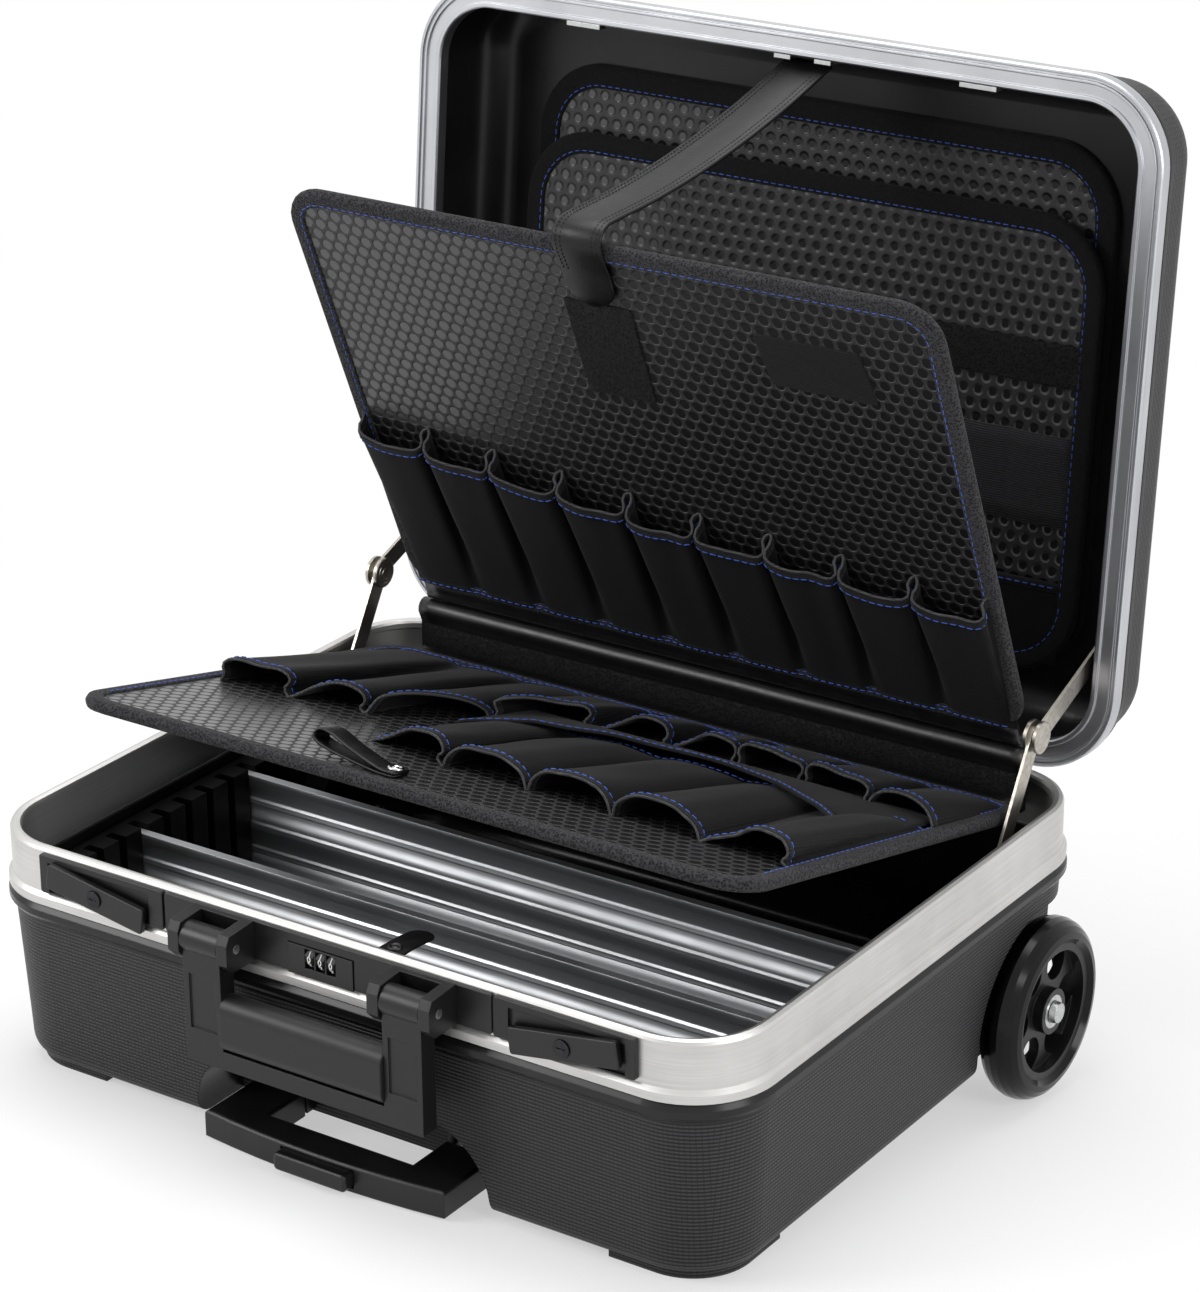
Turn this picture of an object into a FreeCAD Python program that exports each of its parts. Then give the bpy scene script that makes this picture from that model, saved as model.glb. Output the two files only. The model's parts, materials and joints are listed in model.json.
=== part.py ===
import FreeCAD, Part

import math
import operator
import os

import Sketcher

# Wheeled tool case, drawn in its own frame: X to the right along the front, Y to the rear, Z up from the
# front feet. The lid is drawn closed and then swung open. The last step stands the case on its feet and wheels.

doc = FreeCAD.newDocument("wheeled_case")
dims = doc.addObject("Spreadsheet::Sheet", "dims")

Vector = FreeCAD.Vector
Placement = FreeCAD.Placement
Rotation = FreeCAD.Rotation
ALONG_X = Vector(1, 0, 0)
ALONG_Z = Vector(0, 0, 1)
NO_TURN = Rotation()
# Plates that face the front, and pieces whose own Z axis runs along the case's X axis.
FACING_FRONT = Rotation(ALONG_X, 90)
FACING_SIDE = Rotation(Vector(1, 1, 1), 120)
SIGNS = {"+": operator.add, "-": operator.sub, "*": operator.mul, "/": operator.truediv}


class Size:
    """A number together with the sheet formula that gives it."""

    def __init__(self, value, formula):
        self.value = float(value)
        self.formula = formula

    def __float__(self):
        return self.value

    def __add__(self, other):
        return combine(self, "+", other)

    def __radd__(self, other):
        return combine(other, "+", self)

    def __sub__(self, other):
        return combine(self, "-", other)

    def __rsub__(self, other):
        return combine(other, "-", self)

    def __mul__(self, other):
        return combine(self, "*", other)

    def __rmul__(self, other):
        return combine(other, "*", self)

    def __truediv__(self, other):
        return combine(self, "/", other)

    def __neg__(self):
        return combine(0, "-", self)


def sized(number):
    """Gives a plain number the form of a Size."""
    if isinstance(number, Size):
        return number
    return Size(number, "(%r)" % float(number))


def combine(left, sign, right):
    """Works out a new Size and keeps its formula."""
    left, right = sized(left), sized(right)
    value = SIGNS[sign](left.value, right.value)
    return Size(value, "(%s %s %s)" % (left.formula, sign, right.formula))


def write_sheet(sizes):
    """Writes the driving dimensions into the sheet and returns them tied to their cells."""
    tied = {}
    for row, (name, value) in enumerate(sizes.items(), 1):
        dims.set("A%d" % row, name)
        dims.set("B%d" % row, str(value))
        dims.setAlias("B%d" % row, name)
        tied[name] = Size(value, "dims." + name)
    return tied


# Case outline
rim_width = 550
rim_depth = 438
rim_height = 160
rim_corner = 52

# Base shell
frame_height = 38.5
shell_wall = 3
wall_inset = 0.5
floor_inset = 7
floor_radius = 12
foot_height = 3.3
foot_reach = 72
bead_height = 13.5
bead_outset = 3.5
bead_width = 9.5

# Aluminium frames
frame_wall = 3
frame_lip = 7
lip_height = 8
flange_outset = 2.6
flange_height = 8
lid_frame_width = 17.5
lid_frame_outset = 4.5
lid_frame_height = 9.5
lid_groove_depth = 1.6

# Lid
lid_height = 72
lid_gap = 0.5
lid_angle = 95.56
lid_edge_radius = 30
lid_inset = 5
pad_rise = 2.8
pad_reach = 80

# Lid hinge
hinge_offset = 5
hinge_drop = 4
hinge_end_gap = 60
hinge_leaf = 1.5
hinge_leaf_height = 18
knuckle_radius = 3.2
hinge_pin_radius = 1.5
pin_clearance = 0.05
side_clearance = 0.4
seat_gap = 0.1

# Wheels
wheel_radius = 60
tyre_width = 28.6
tyre_height = 15
wheel_inset = 64
wheel_rise = 28.6
arch_gap = 7
well_gap = 7.7
hub_width = 22
rim_thickness = 5
web_thickness = 7
spoke_hole_radius = 11.5
bearing_radius = 11
bearing_width = 7
boss_radius = 15
axle_radius = 4
axle_head_radius = 7.5
axle_head_height = 4

# Trolley handle
notch_half = 110
notch_top = 58
notch_corner = 48
notch_depth = 44
tube_half_spacing = 70
tube_rise = 15.5
tube_width = 26
tube_thickness = 18
tube_wall = 1.6
tube_gap = 0.3
tube_end_gap = 74
guide_length = 8
guide_wall = 3
bow_half = 90
bow_out = 18
bow_bulge = 6
bow_bar = 18
bow_low = 4
bow_arm = 36
bow_height = 17.5
button_half = 27
button_depth = 14
button_out = 8
button_travel = 4
button_margin = 2.5
cover_half = 96
cover_height = 28
cover_wall = 2.5

# Front fittings
plate_drop = 3
plate_height = 26
plate_end_gap = 1
plate_thickness = 3
handle_pivot_out = 20
handle_pivot_drop = 15
handle_drop = 80
arm_inset = 61
arm_width = 28
arm_thickness = 13
barrel_radius = 9.5
handle_bar = 12
handle_pin_radius = 3
cheek_width = 8
grip_height = 36
grip_thickness = 19
lock_center = -2
lock_half = 24
lock_depth = 16
dial_pitch = 8
dial_radius = 6
dial_width = 6
dial_drop = 17
dial_back = 1.5
dial_pin_radius = 1.5
latch_width = 98
latch_end_inset = 55
latch_pivot_inset = 47
latch_pivot_drop = 20
lever_half = 38
lever_height = 17
lever_thickness = 4
lever_angle = 9
lever_gap = 0.3
window_depth = 2
key_radius = 5.5
key_thickness = 2

# Dividers and closing tab
divider_drop = 9.5
divider_lift = 9.7
divider_wall = 2.4
divider_bead = 6
rail_thickness = 5
rail_post = 12
rail_pitch = 22
rail_slot = 7
rail_ledge = 4
rail_front_gap = 74
rail_rear_gap = 160
divider_end_gap = 1.5
tab_offset = 35
tab_width = 18
tab_length = 50
tab_thickness = 2
tab_drop = 10
stud_radius = 5
stud_height = 2

# Tool boards
board_thickness = 5
board_corner = 28
board_start = 8
piping_radius = 4.7
upper_pivot_inset = 19
upper_pivot_lift = 27
upper_angle = 67.2
upper_side_gap = 35
upper_front_gap = 69
lower_pivot_inset = 29
lower_pivot_drop = 15
lower_angle = 13.7
lower_side_gap = 25
lower_front_gap = 53
pocket_wall = 2
pocket_room = 12
upper_pocket_start = 12
upper_pocket_height = 136
UPPER_POCKET_COUNT = 9
rear_pocket_start = 24
rear_pocket_height = 130
REAR_POCKET_COUNT = 9
front_row_end_gap = 160
front_pocket_height = 100
front_row_width = 306
front_row_side_gap = 10
FRONT_POCKET_COUNT = 5
patch_width = 50
patch_height = 110
patch_end_gap = 10
patch_thickness = 1.2
elastic_tab_center = 145
elastic_tab_width = 74
elastic_tab_height = 38
elastic_tab_end_gap = 45
loop_center = -44
loop_half = 34
loop_width = 16
loop_rise = 14
loop_end_gap = 34
spine_side_gap = 39
spine_inset = 24
spine_thickness = 7
spine_foot_drop = 22
spine_lift = 15
roll_radius = 7

# Lid lining and strap
organiser_side_gap = 53
organiser_front_gap = 51
organiser_rear_gap = 37
organiser_thickness = 4
organiser_gap = 8
organiser_lower = 45
organiser_corner_gap = 60
organiser_seam = 8
band_width = 60
band_place = 20
band_end_gap = 14
band_far_gap = 20
band_thickness = 2
hook_band_length = 110
hook_band_width = 28
hook_band_offset = 60
hook_band_end_gap = 10
small_pocket_height = 56
small_pocket_lift = 6
small_pocket_depth = 6
strike_offset = 25
strike_width = 26
strike_height = 3
strap_center = -8
strap_width = 36
strap_thickness = 2.5
strap_tip_length = 46
strap_anchor_x = 20
strap_sag = 18
STRAP_STEPS = 8
clip_width = 12
clip_spacing = 30

# Lid stays
stay_base_inset = 85
stay_base_drop = 25
stay_knee_inset = 44
stay_knee_lift = 44
stay_lid_outset = 37
stay_lid_lift = 75
stay_width = 13
stay_thickness = 2
stay_inset = 21
stay_gap = 0.3
stay_rivet_radius = 3
knee_disc_radius = 10.5
knee_disc_height = 2
rivet_head_radius = 4.5
rivet_head_height = 1.2

# Every size above goes into the sheet, and from here on its name stands for its cell.
globals().update(write_sheet({name: size for name, size in globals().items() if type(size) in (int, float)
                              and name.islower()}))
doc.recompute()

half_width = rim_width / 2
half_depth = rim_depth / 2
front_face = -half_depth
hinge_back = half_depth + hinge_offset
hinge_rise = rim_height - hinge_drop
mouth = rim_height + lid_gap
lid_top = rim_height + lid_height
wheel_plane = half_width
shell_height = rim_height - frame_height
hinge_length = rim_width - 2 * hinge_end_gap
wheel_back = half_depth - wheel_inset
plate_top = rim_height - plate_drop
plate_bottom = plate_top - plate_height
handle_pivot_rise = rim_height - handle_pivot_drop
dial_rise = rim_height - dial_drop
latch_outer = half_width - latch_end_inset
latch_inner = latch_outer - latch_width
latch_pivot = latch_outer - latch_pivot_inset
latch_pivot_rise = rim_height - latch_pivot_drop
plate_half = latch_inner - plate_end_gap
arm_inner = plate_half - arm_inset
rail_start = rail_front_gap - half_depth
RAIL_SLOTS = int(float(rim_depth - rail_front_gap - rail_rear_gap) / float(rail_pitch))
divider_front_back = rail_start + 2.5 * rail_pitch
divider_rear_back = rail_start + (RAIL_SLOTS - 1.5) * rail_pitch
divider_top = shell_height - divider_drop
upper_pivot_back = half_depth - upper_pivot_inset
upper_pivot_rise = rim_height + upper_pivot_lift
upper_half = half_width - upper_side_gap
upper_length = upper_pivot_back + half_depth - upper_front_gap
elastic_tab_top = upper_length - elastic_tab_end_gap
patch_top = upper_length - patch_end_gap
lower_pivot_back = half_depth - lower_pivot_inset
lower_pivot_rise = rim_height - lower_pivot_drop
lower_half = half_width - lower_side_gap
lower_length = lower_pivot_back + half_depth - lower_front_gap
loop_start = lower_length - loop_end_gap
front_pocket_start = lower_length - front_row_end_gap
front_pocket_right = lower_half - front_row_side_gap
front_pocket_left = front_pocket_right - front_row_width
spine_half = half_width - spine_side_gap
spine_front = half_depth - spine_inset
spine_bottom = rim_height - spine_foot_drop
spine_top = rim_height + spine_lift
organiser_half = half_width - organiser_side_gap
organiser_front_edge = organiser_front_gap - half_depth
organiser_rear_edge = half_depth - organiser_rear_gap
strike_half_spacing = latch_pivot - strike_offset
stay_base_back = half_depth - stay_base_inset
stay_base_rise = rim_height - stay_base_drop
stay_knee_back = half_depth - stay_knee_inset
stay_knee_rise = rim_height + stay_knee_lift
stay_lid_back = half_depth + stay_lid_outset
stay_lid_rise = rim_height + stay_lid_lift
stay_inner = half_width - stay_inset
divider_bottom = foot_height + shell_wall + cover_height + divider_lift
FAR = sized(60)


def bind(item, **sizes):
    """Sets properties of an object and ties them to the sheet."""
    for name, size in sizes.items():
        size = sized(size)
        setattr(item, name, size.value)
        item.setExpression(name, size.formula)
    return item


def place(item, x=0, y=0, z=0, turn=NO_TURN):
    """Puts an object at a point of the case's frame."""
    item.Placement = Placement(Vector(float(x), float(y), float(z)), turn)
    return item


def block(name, low, high):
    """A box between two corners."""
    item = doc.addObject("Part::Box", name)
    spans = [sized(far) - near for near, far in zip(low, high)]
    bind(item, Length=spans[0], Width=spans[1], Height=spans[2])
    return place(item, *low)


def rod(name, radius, length, x, y, z, turn=NO_TURN):
    """A cylinder from a point along its own Z axis."""
    item = doc.addObject("Part::Cylinder", name)
    bind(item, Radius=radius, Height=length)
    return place(item, x, y, z, turn)


def fuse(name, items):
    """One solid from several that overlap or touch."""
    item = doc.addObject("Part::MultiFuse", name)
    item.Shapes = items
    item.Refine = True
    return item


def cut(name, base, tools):
    """Takes one or more tools out of a base."""
    tool = tools[0] if len(tools) == 1 else fuse(name + "_tools", tools)
    item = doc.addObject("Part::Cut", name)
    item.Base = base
    item.Tool = tool
    return item


def common(name, first, second):
    """What two solids share."""
    item = doc.addObject("Part::Common", name)
    item.Base = first
    item.Tool = second
    return item


def group(name, items):
    """Separate solids in one node."""
    item = doc.addObject("Part::Compound", name)
    item.Links = items
    return item


def constrain(sketch, kind, *values):
    """Adds a constraint. A last value that is a Size is tied to the sheet."""
    if isinstance(values[-1], Size):
        index = sketch.addConstraint(Sketcher.Constraint(kind, *values[:-1], values[-1].value))
        sketch.setExpression("Constraints[%d]" % index, values[-1].formula)
    else:
        sketch.addConstraint(Sketcher.Constraint(kind, *values))


def draw_polygon(sketch, points):
    """A closed outline whose corners are tied to the sheet."""
    points = [(sized(x), sized(y)) for x, y in points]
    corners = [Vector(x.value, y.value, 0) for x, y in points]
    lines = []
    for start, end in zip(corners, corners[1:] + corners[:1]):
        lines.append(sketch.addGeometry(Part.LineSegment(start, end), False))
    for line, following in zip(lines, lines[1:] + lines[:1]):
        constrain(sketch, "Coincident", line, 2, following, 1)
    for line, (x, y) in zip(lines, points):
        constrain(sketch, "DistanceX", -1, 1, line, 1, x)
        constrain(sketch, "DistanceY", -1, 1, line, 1, y)


def draw_rounded(sketch, length, width, radius):
    """A rectangle with round corners about the origin, from the middle of its near side."""
    length, width, radius = sized(length), sized(width), sized(radius)
    a, b, r = length.value / 2, width.value / 2, radius.value
    ends = [
        ((0, -b), (a - r, -b)),
        ((a, r - b), (a, b - r)),
        ((a - r, b), (r - a, b)),
        ((-a, b - r), (-a, r - b)),
        ((r - a, -b), (0, -b)),
    ]
    centers = [(a - r, r - b), (a - r, b - r), (r - a, b - r), (r - a, r - b)]
    pieces = []
    for number, (start, end) in enumerate(ends):
        line = Part.LineSegment(Vector(*start, 0), Vector(*end, 0))
        pieces.append(sketch.addGeometry(line, False))
        if number < len(centers):
            circle = Part.Circle(Vector(*centers[number], 0), ALONG_Z, r)
            begin = math.radians(90 * number - 90)
            arc = Part.ArcOfCircle(circle, begin, begin + math.radians(90))
            pieces.append(sketch.addGeometry(arc, False))
    for piece, following in zip(pieces, pieces[1:]):
        constrain(sketch, "Tangent", piece, 2, following, 1)
    constrain(sketch, "Coincident", pieces[-1], 2, pieces[0], 1)
    constrain(sketch, "PointOnObject", pieces[0], 1, -2)
    for number, kind in ((0, "Horizontal"), (2, "Vertical"), (4, "Horizontal"), (6, "Vertical")):
        constrain(sketch, kind, pieces[number])
    for number in (3, 5, 7):
        constrain(sketch, "Equal", pieces[1], pieces[number])
    constrain(sketch, "Symmetric", pieces[1], 3, pieces[5], 3, -1, 1)
    constrain(sketch, "Radius", pieces[1], radius)
    constrain(sketch, "DistanceX", pieces[6], 1, pieces[2], 1, length)
    constrain(sketch, "DistanceY", pieces[0], 1, pieces[4], 1, width)


def sketch_on(body, name, role, offset=0):
    """An empty sketch on one of a body's own planes."""
    sketch = body.newObject("Sketcher::SketchObject", name)
    plane = next(item for item in body.Origin.OriginFeatures if item.Role == role)
    sketch.AttachmentSupport = [(plane, "")]
    sketch.MapMode = "FlatFace"
    sketch.AttachmentOffset = Placement(Vector(0, 0, float(offset)), NO_TURN)
    sketch.setExpression("AttachmentOffset.Base.z", sized(offset).formula)
    return sketch


def new_body(name):
    """An empty body."""
    return doc.addObject("PartDesign::Body", name)


def pad(body, sketch, length):
    """Pads a sketch along its normal."""
    feature = body.newObject("PartDesign::Pad", body.Name + "_pad")
    feature.Profile = sketch
    bind(feature, Length=length)
    return feature


def round_edges(body, radius, wanted, name="_round"):
    """Rounds those edges of a body that a test picks."""
    doc.recompute()
    tip = body.Tip
    edges = ["Edge%d" % number for number, edge in enumerate(tip.Shape.Edges, 1) if wanted(edge)]
    feature = body.newObject("PartDesign::Fillet", body.Name + name)
    feature.Base = (tip, edges)
    bind(feature, Radius=radius)
    return feature


def at_height(height):
    """Picks the edges that lie at one height of a body's own frame."""
    return lambda edge: abs(edge.BoundBox.ZMin - float(height)) < 0.01 and edge.BoundBox.ZLength < 0.01


def panel(name, length, width, thickness, radius, edge=None):
    """A plate with round corners about its own origin, and its front edge rounded if asked."""
    body = new_body(name)
    sketch = sketch_on(body, name + "_outline", "XY_Plane")
    draw_rounded(sketch, length, width, radius)
    pad(body, sketch, thickness)
    if edge is not None:
        round_edges(body, edge, at_height(thickness))
    return body


def extrusion(name, points, length, role="XY_Plane"):
    """A polygon padded along the normal of one of its body's planes."""
    body = new_body(name)
    sketch = sketch_on(body, name + "_outline", role)
    draw_polygon(sketch, points)
    pad(body, sketch, length)
    return body


def turned(name, points):
    """A polygon of radius and height turned about its body's Z axis."""
    body = new_body(name)
    sketch = sketch_on(body, name + "_profile", "XZ_Plane")
    draw_polygon(sketch, points)
    feature = body.newObject("PartDesign::Revolution", name + "_turn")
    feature.Profile = sketch
    feature.ReferenceAxis = (sketch, ["V_Axis"])
    feature.Angle = 360
    return body


def tub(name, low, low_inset, low_corner, high, high_inset, high_corner):
    """A drafted block between two rounded outlines set in from the rim."""
    body = new_body(name)
    outlines = []
    for label, level, inset, corner in (
        ("_low", low, low_inset, low_corner),
        ("_high", high, high_inset, high_corner),
    ):
        sketch = sketch_on(body, name + label, "XY_Plane", level)
        draw_rounded(sketch, rim_width - 2 * inset, rim_depth - 2 * inset, corner)
        outlines.append(sketch)
    loft = body.newObject("PartDesign::AdditiveLoft", name + "_loft")
    loft.Profile = outlines[0]
    loft.Sections = [outlines[1]]
    loft.Ruled = True
    return body


def ring(name, profile):
    """A profile of outset and height swept round the rim."""
    path = doc.addObject("Sketcher::SketchObject", name + "_path")
    draw_rounded(path, rim_width, rim_depth, rim_corner)
    section = doc.addObject("Sketcher::SketchObject", name + "_section")
    draw_polygon(section, profile)
    section.Placement = Placement(Vector(0, float(front_face), 0), Rotation(ALONG_Z, -90).multiply(FACING_FRONT))
    doc.recompute()
    sweep = doc.addObject("Part::Sweep", name)
    sweep.Sections = [section]
    sweep.Spine = (path, ["Edge%d" % (number + 1) for number in range(len(path.Shape.Edges))])
    sweep.Solid = True
    sweep.Frenet = False
    return sweep


def round_profile(inner, outer, low, high, steps=5):
    """A bead's section: square inside, half round outside."""
    middle = (sized(low) + high) / 2
    radius = (sized(high) - low) / 2
    points = [(inner, high), (inner, low)]
    for step in range(steps + 1):
        angle = math.radians(-90 + 180 * step / steps)
        points.append((outer - radius + radius * math.cos(angle), middle + radius * math.sin(angle)))
    return points


nodes = {}


def keep(label, item, group_placement=None):
    """Registers a finished piece and where its group stands in the case."""
    item.Label = label
    nodes[label] = (item, group_placement or Placement())
    return item


def mirrored_pair(name, maker):
    """Makes the left and the right of a piece."""
    return [maker(name + "_left", -1), maker(name + "_right", 1)]


hinge_axis = Vector(0, float(hinge_back), float(hinge_rise))
LID_OPEN = Placement(Vector(), Rotation(ALONG_X, -lid_angle.value), hinge_axis)


def board_place(back, rise, angle):
    """A board's own frame: X to the right, Y up the board from its pivot, Z out of its front or under side."""
    return Placement(Vector(0, float(back), float(rise)), Rotation(ALONG_X, 180 - angle.value))


UPPER_PLACE = board_place(upper_pivot_back, upper_pivot_rise, upper_angle)
LOWER_PLACE = board_place(lower_pivot_back, lower_pivot_rise, lower_angle)

# Places shared by several pieces
wall_top = shell_height - bead_height
tube_bore_width = tube_width - 2 * tube_wall
tube_bore_thickness = tube_thickness - 2 * tube_wall
middle_width = tube_bore_width - 2 * tube_gap
middle_thickness = tube_bore_thickness - 2 * tube_gap
inner_width = middle_width - 2 * tube_wall - 2 * tube_gap
inner_thickness = middle_thickness - 2 * tube_wall - 2 * tube_gap
floor_front = front_face + floor_inset
notch_back = floor_front + notch_depth
tube_length = half_depth - tube_end_gap - notch_back - shell_wall
well_face = wheel_plane - tyre_width / 2 - well_gap
plate_face = front_face - plate_thickness
pivot_back = front_face - handle_pivot_out


def wheel_well(name, side, margin):
    """The hollow round one wheel, or with a margin the housing around that hollow."""
    radius = wheel_radius + arch_gap + margin
    inner = well_face - margin
    span = wheel_plane + FAR - inner
    start = inner if side > 0 else -(inner + span)
    high = wheel_rise + radius
    arch = rod(name + "_arch", radius, span, start, wheel_back, wheel_rise, FACING_SIDE)
    low = block(
        name + "_low",
        (start, wheel_back - radius, -FAR),
        (start + span, half_depth + FAR, wheel_rise),
    )
    behind = block(
        name + "_behind",
        (start, wheel_back, wheel_rise - 1),
        (start + span, half_depth + FAR, high),
    )
    return fuse(name, [arch, low, behind])


def trolley_notch(name, margin):
    """The notch in the front wall for the trolley bow, or its housing."""
    top = notch_top + margin
    body = panel(name, 2 * (notch_half + margin), 2 * top, notch_depth + margin + FAR, notch_corner + margin)
    return place(body, 0, notch_back + margin, 0, FACING_FRONT)


def base_shell():
    """The lower tub with its bead, front feet, wheel wells and trolley notch."""
    outer = tub("shell_outer", foot_height, floor_inset, rim_corner - floor_inset, wall_top + bead_height / 2,
                wall_inset, rim_corner - wall_inset)
    round_edges(outer, floor_radius, at_height(foot_height))
    inner = tub("shell_inner", foot_height + shell_wall, floor_inset + shell_wall,
                rim_corner - floor_inset - shell_wall, shell_height + FAR, wall_inset + shell_wall,
                rim_corner - wall_inset - shell_wall)
    round_edges(inner, floor_radius - shell_wall, at_height(foot_height + shell_wall))
    inner_place = inner
    bead = ring("shell_bead", round_profile(bead_outset - bead_width, bead_outset, wall_top, shell_height))
    walls = cut("shell_walls", outer, [inner_place])
    housings = [wheel_well("housing_left", -1, shell_wall), wheel_well("housing_right", 1, shell_wall),
                trolley_notch("housing_front", shell_wall)]
    inside = common("shell_housings", outer_copy(), fuse("housings", housings))
    feet = [foot("foot_left", -1), foot("foot_right", 1)]
    whole = fuse("shell_whole", [walls, bead, inside] + feet)
    hollows = [wheel_well("well_left", -1, sized(0)), wheel_well("well_right", 1, sized(0)),
               trolley_notch("notch", sized(0))]
    holes = []
    for side in (-1, 1):
        holes.append(tube_block("tube_hole_%d" % side, side, middle_width + 2 * tube_gap,
                                middle_thickness + 2 * tube_gap, notch_back - 1, shell_wall + 2))
        holes.append(rod("axle_hole_%d" % side, axle_radius + pin_clearance, FAR,
                         side * well_face - FAR / 2, wheel_back, wheel_rise, FACING_SIDE))
    return cut("shell_cut", whole, hollows + holes)


def outer_copy():
    """The shell's outer volume again, to trim the housings."""
    body = tub("shell_trim", foot_height, floor_inset, rim_corner - floor_inset, wall_top + bead_height / 2,
               wall_inset, rim_corner - wall_inset)
    round_edges(body, floor_radius, at_height(foot_height))
    return body


def foot(name, side):
    """A low pad under one front corner, inside the floor's round edge."""
    inset = floor_inset + floor_radius / 2
    pad_body = panel(name + "_pad", rim_width - 2 * inset, rim_depth - 2 * inset, foot_height + shell_wall / 2,
                     rim_corner - inset)
    near = half_width - inset - foot_reach
    x = near if side > 0 else -(near + foot_reach + inset)
    corner = block(name + "_corner", (x, front_face, -1), (x + foot_reach + inset, front_face + inset + foot_reach, FAR))
    return common(name, pad_body, corner)


def tube_block(name, side, width, thickness, start, length):
    """A block on the line of one trolley tube."""
    x = side * tube_half_spacing
    return block(name, (x - width / 2, start, tube_rise - thickness / 2),
                 (x + width / 2, start + length, tube_rise + thickness / 2))


def tube_pair(name, width, thickness, start, length):
    """A pair of hollow tubes on the trolley's lines."""
    tubes = []
    for side in (-1, 1):
        label = "%s_%d" % (name, side)
        outside = tube_block(label + "_outside", side, width, thickness, start, length)
        bore = tube_block(label + "_bore", side, width - 2 * tube_wall, thickness - 2 * tube_wall, start - 1, length + 2)
        tubes.append(cut(label, outside, [bore]))
    return group(name, tubes)


def base_frame():
    """The aluminium extrusion round the base, with a window for the lock."""
    lip_low = rim_height - lip_height
    profile = [
        (flange_outset, shell_height),
        (flange_outset, shell_height + flange_height - flange_outset),
        (0, shell_height + flange_height),
        (0, rim_height - 2.6),
        (-0.9, rim_height - 0.8),
        (-frame_lip / 2, rim_height),
        (0.8 - frame_lip, rim_height - 0.8),
        (-frame_lip, rim_height - 2.4),
        (-frame_lip, lip_low + 2),
        (-frame_wall, lip_low),
        (-frame_wall, shell_height),
    ]
    extruded = ring("frame_ring", profile)
    window = block(
        "lock_window",
        (lock_center - lock_half - side_clearance, front_face - FAR, plate_bottom - side_clearance),
        (lock_center + lock_half + side_clearance, front_face + frame_wall + 1, rim_height - lip_height - 1),
    )
    return cut("frame_cut", extruded, [window])


def lid_shell():
    """The upper tub, drawn closed, with a bead and raised corner pads."""
    bead_low = mouth + lid_frame_height
    bead_high = bead_low + bead_height - 2
    outer = tub("lid_outer", bead_low + 2, wall_inset, rim_corner - wall_inset, lid_top, lid_inset,
                rim_corner - lid_inset)
    round_edges(outer, lid_edge_radius, at_height(lid_top))
    inner = tub("lid_inner", bead_low - 1, wall_inset + shell_wall, rim_corner - wall_inset - shell_wall,
                lid_top - shell_wall, lid_inset + shell_wall, rim_corner - lid_inset - shell_wall)
    round_edges(inner, lid_edge_radius - shell_wall, at_height(lid_top - shell_wall))
    bead = ring("lid_bead", round_profile(bead_outset - bead_width, bead_outset, bead_low, bead_high))
    raised = tub("lid_raised", bead_low + 2, wall_inset - pad_rise / 2, rim_corner - wall_inset, lid_top + pad_rise,
                 lid_inset - pad_rise, rim_corner - lid_inset)
    round_edges(raised, lid_edge_radius, at_height(lid_top + pad_rise))
    corners = []
    for side_x in (-1, 1):
        for side_y in (-1, 1):
            x = half_width - pad_reach if side_x > 0 else -half_width - FAR
            y = half_depth - pad_reach if side_y > 0 else -half_depth - FAR
            corners.append(block("lid_corner_%d_%d" % (side_x, side_y), (x, y, bead_high - 1),
                                 (x + pad_reach + FAR, y + pad_reach + FAR, lid_top + FAR)))
    pads = common("lid_pads", raised, fuse("lid_corners", corners))
    whole = fuse("lid_whole", [outer, bead, pads])
    return cut("lid_cut", whole, [inner])


def lid_frame():
    """The lid's aluminium extrusion, with two grooves in its mouth face."""
    inner = lid_frame_outset - lid_frame_width
    deep = mouth + lid_groove_depth
    top = mouth + lid_frame_height
    profile = [
        (lid_frame_outset, mouth + 1),
        (lid_frame_outset, top),
        (inner, top),
        (inner, mouth + 1),
        (inner + 1, mouth),
        (inner + 3.5, mouth),
        (inner + 4, deep),
        (inner + 11, deep),
        (inner + 11.5, mouth),
        (inner + 13, mouth),
        (inner + 13.3, deep),
        (inner + 14.7, deep),
        (inner + 15, mouth),
        (lid_frame_outset - 1, mouth),
    ]
    return ring("lid_ring", profile)


def knuckles(name, first):
    """Every other knuckle of the lid hinge."""
    count = 10
    pitch = hinge_length / count
    barrels = []
    for number in range(first, count, 2):
        start = number * pitch - hinge_length / 2 + side_clearance / 2
        barrels.append(rod("%s_%d" % (name, number), knuckle_radius, pitch - side_clearance,
                           start, hinge_back, hinge_rise, FACING_SIDE))
        barrels.append(knuckle_web("%s_web_%d" % (name, number), first, start, pitch - side_clearance))
    return barrels


def knuckle_web(name, first, start, length):
    """The strip that ties one knuckle to its leaf."""
    if first == 0:
        return block(name, (start, half_depth, hinge_rise - knuckle_radius),
                     (start + length, hinge_back, hinge_rise - knuckle_radius + hinge_leaf))
    low = hinge_back + knuckle_radius - hinge_leaf
    return block(name, (start, low, hinge_rise), (start + length, low + hinge_leaf, mouth + 1))


def hinge_leaf_base():
    """The leaf on the rear of the base frame."""
    low = hinge_rise - knuckle_radius - hinge_leaf_height
    leaf = block("leaf_base_plate", (-hinge_length / 2, half_depth, low),
                 (hinge_length / 2, half_depth + hinge_leaf, hinge_rise - knuckle_radius + hinge_leaf))
    solid = fuse("leaf_base_solid", [leaf] + knuckles("knuckle_base", 0))
    return cut("leaf_base", solid, [hinge_bore("leaf_base_bore")])


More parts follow.
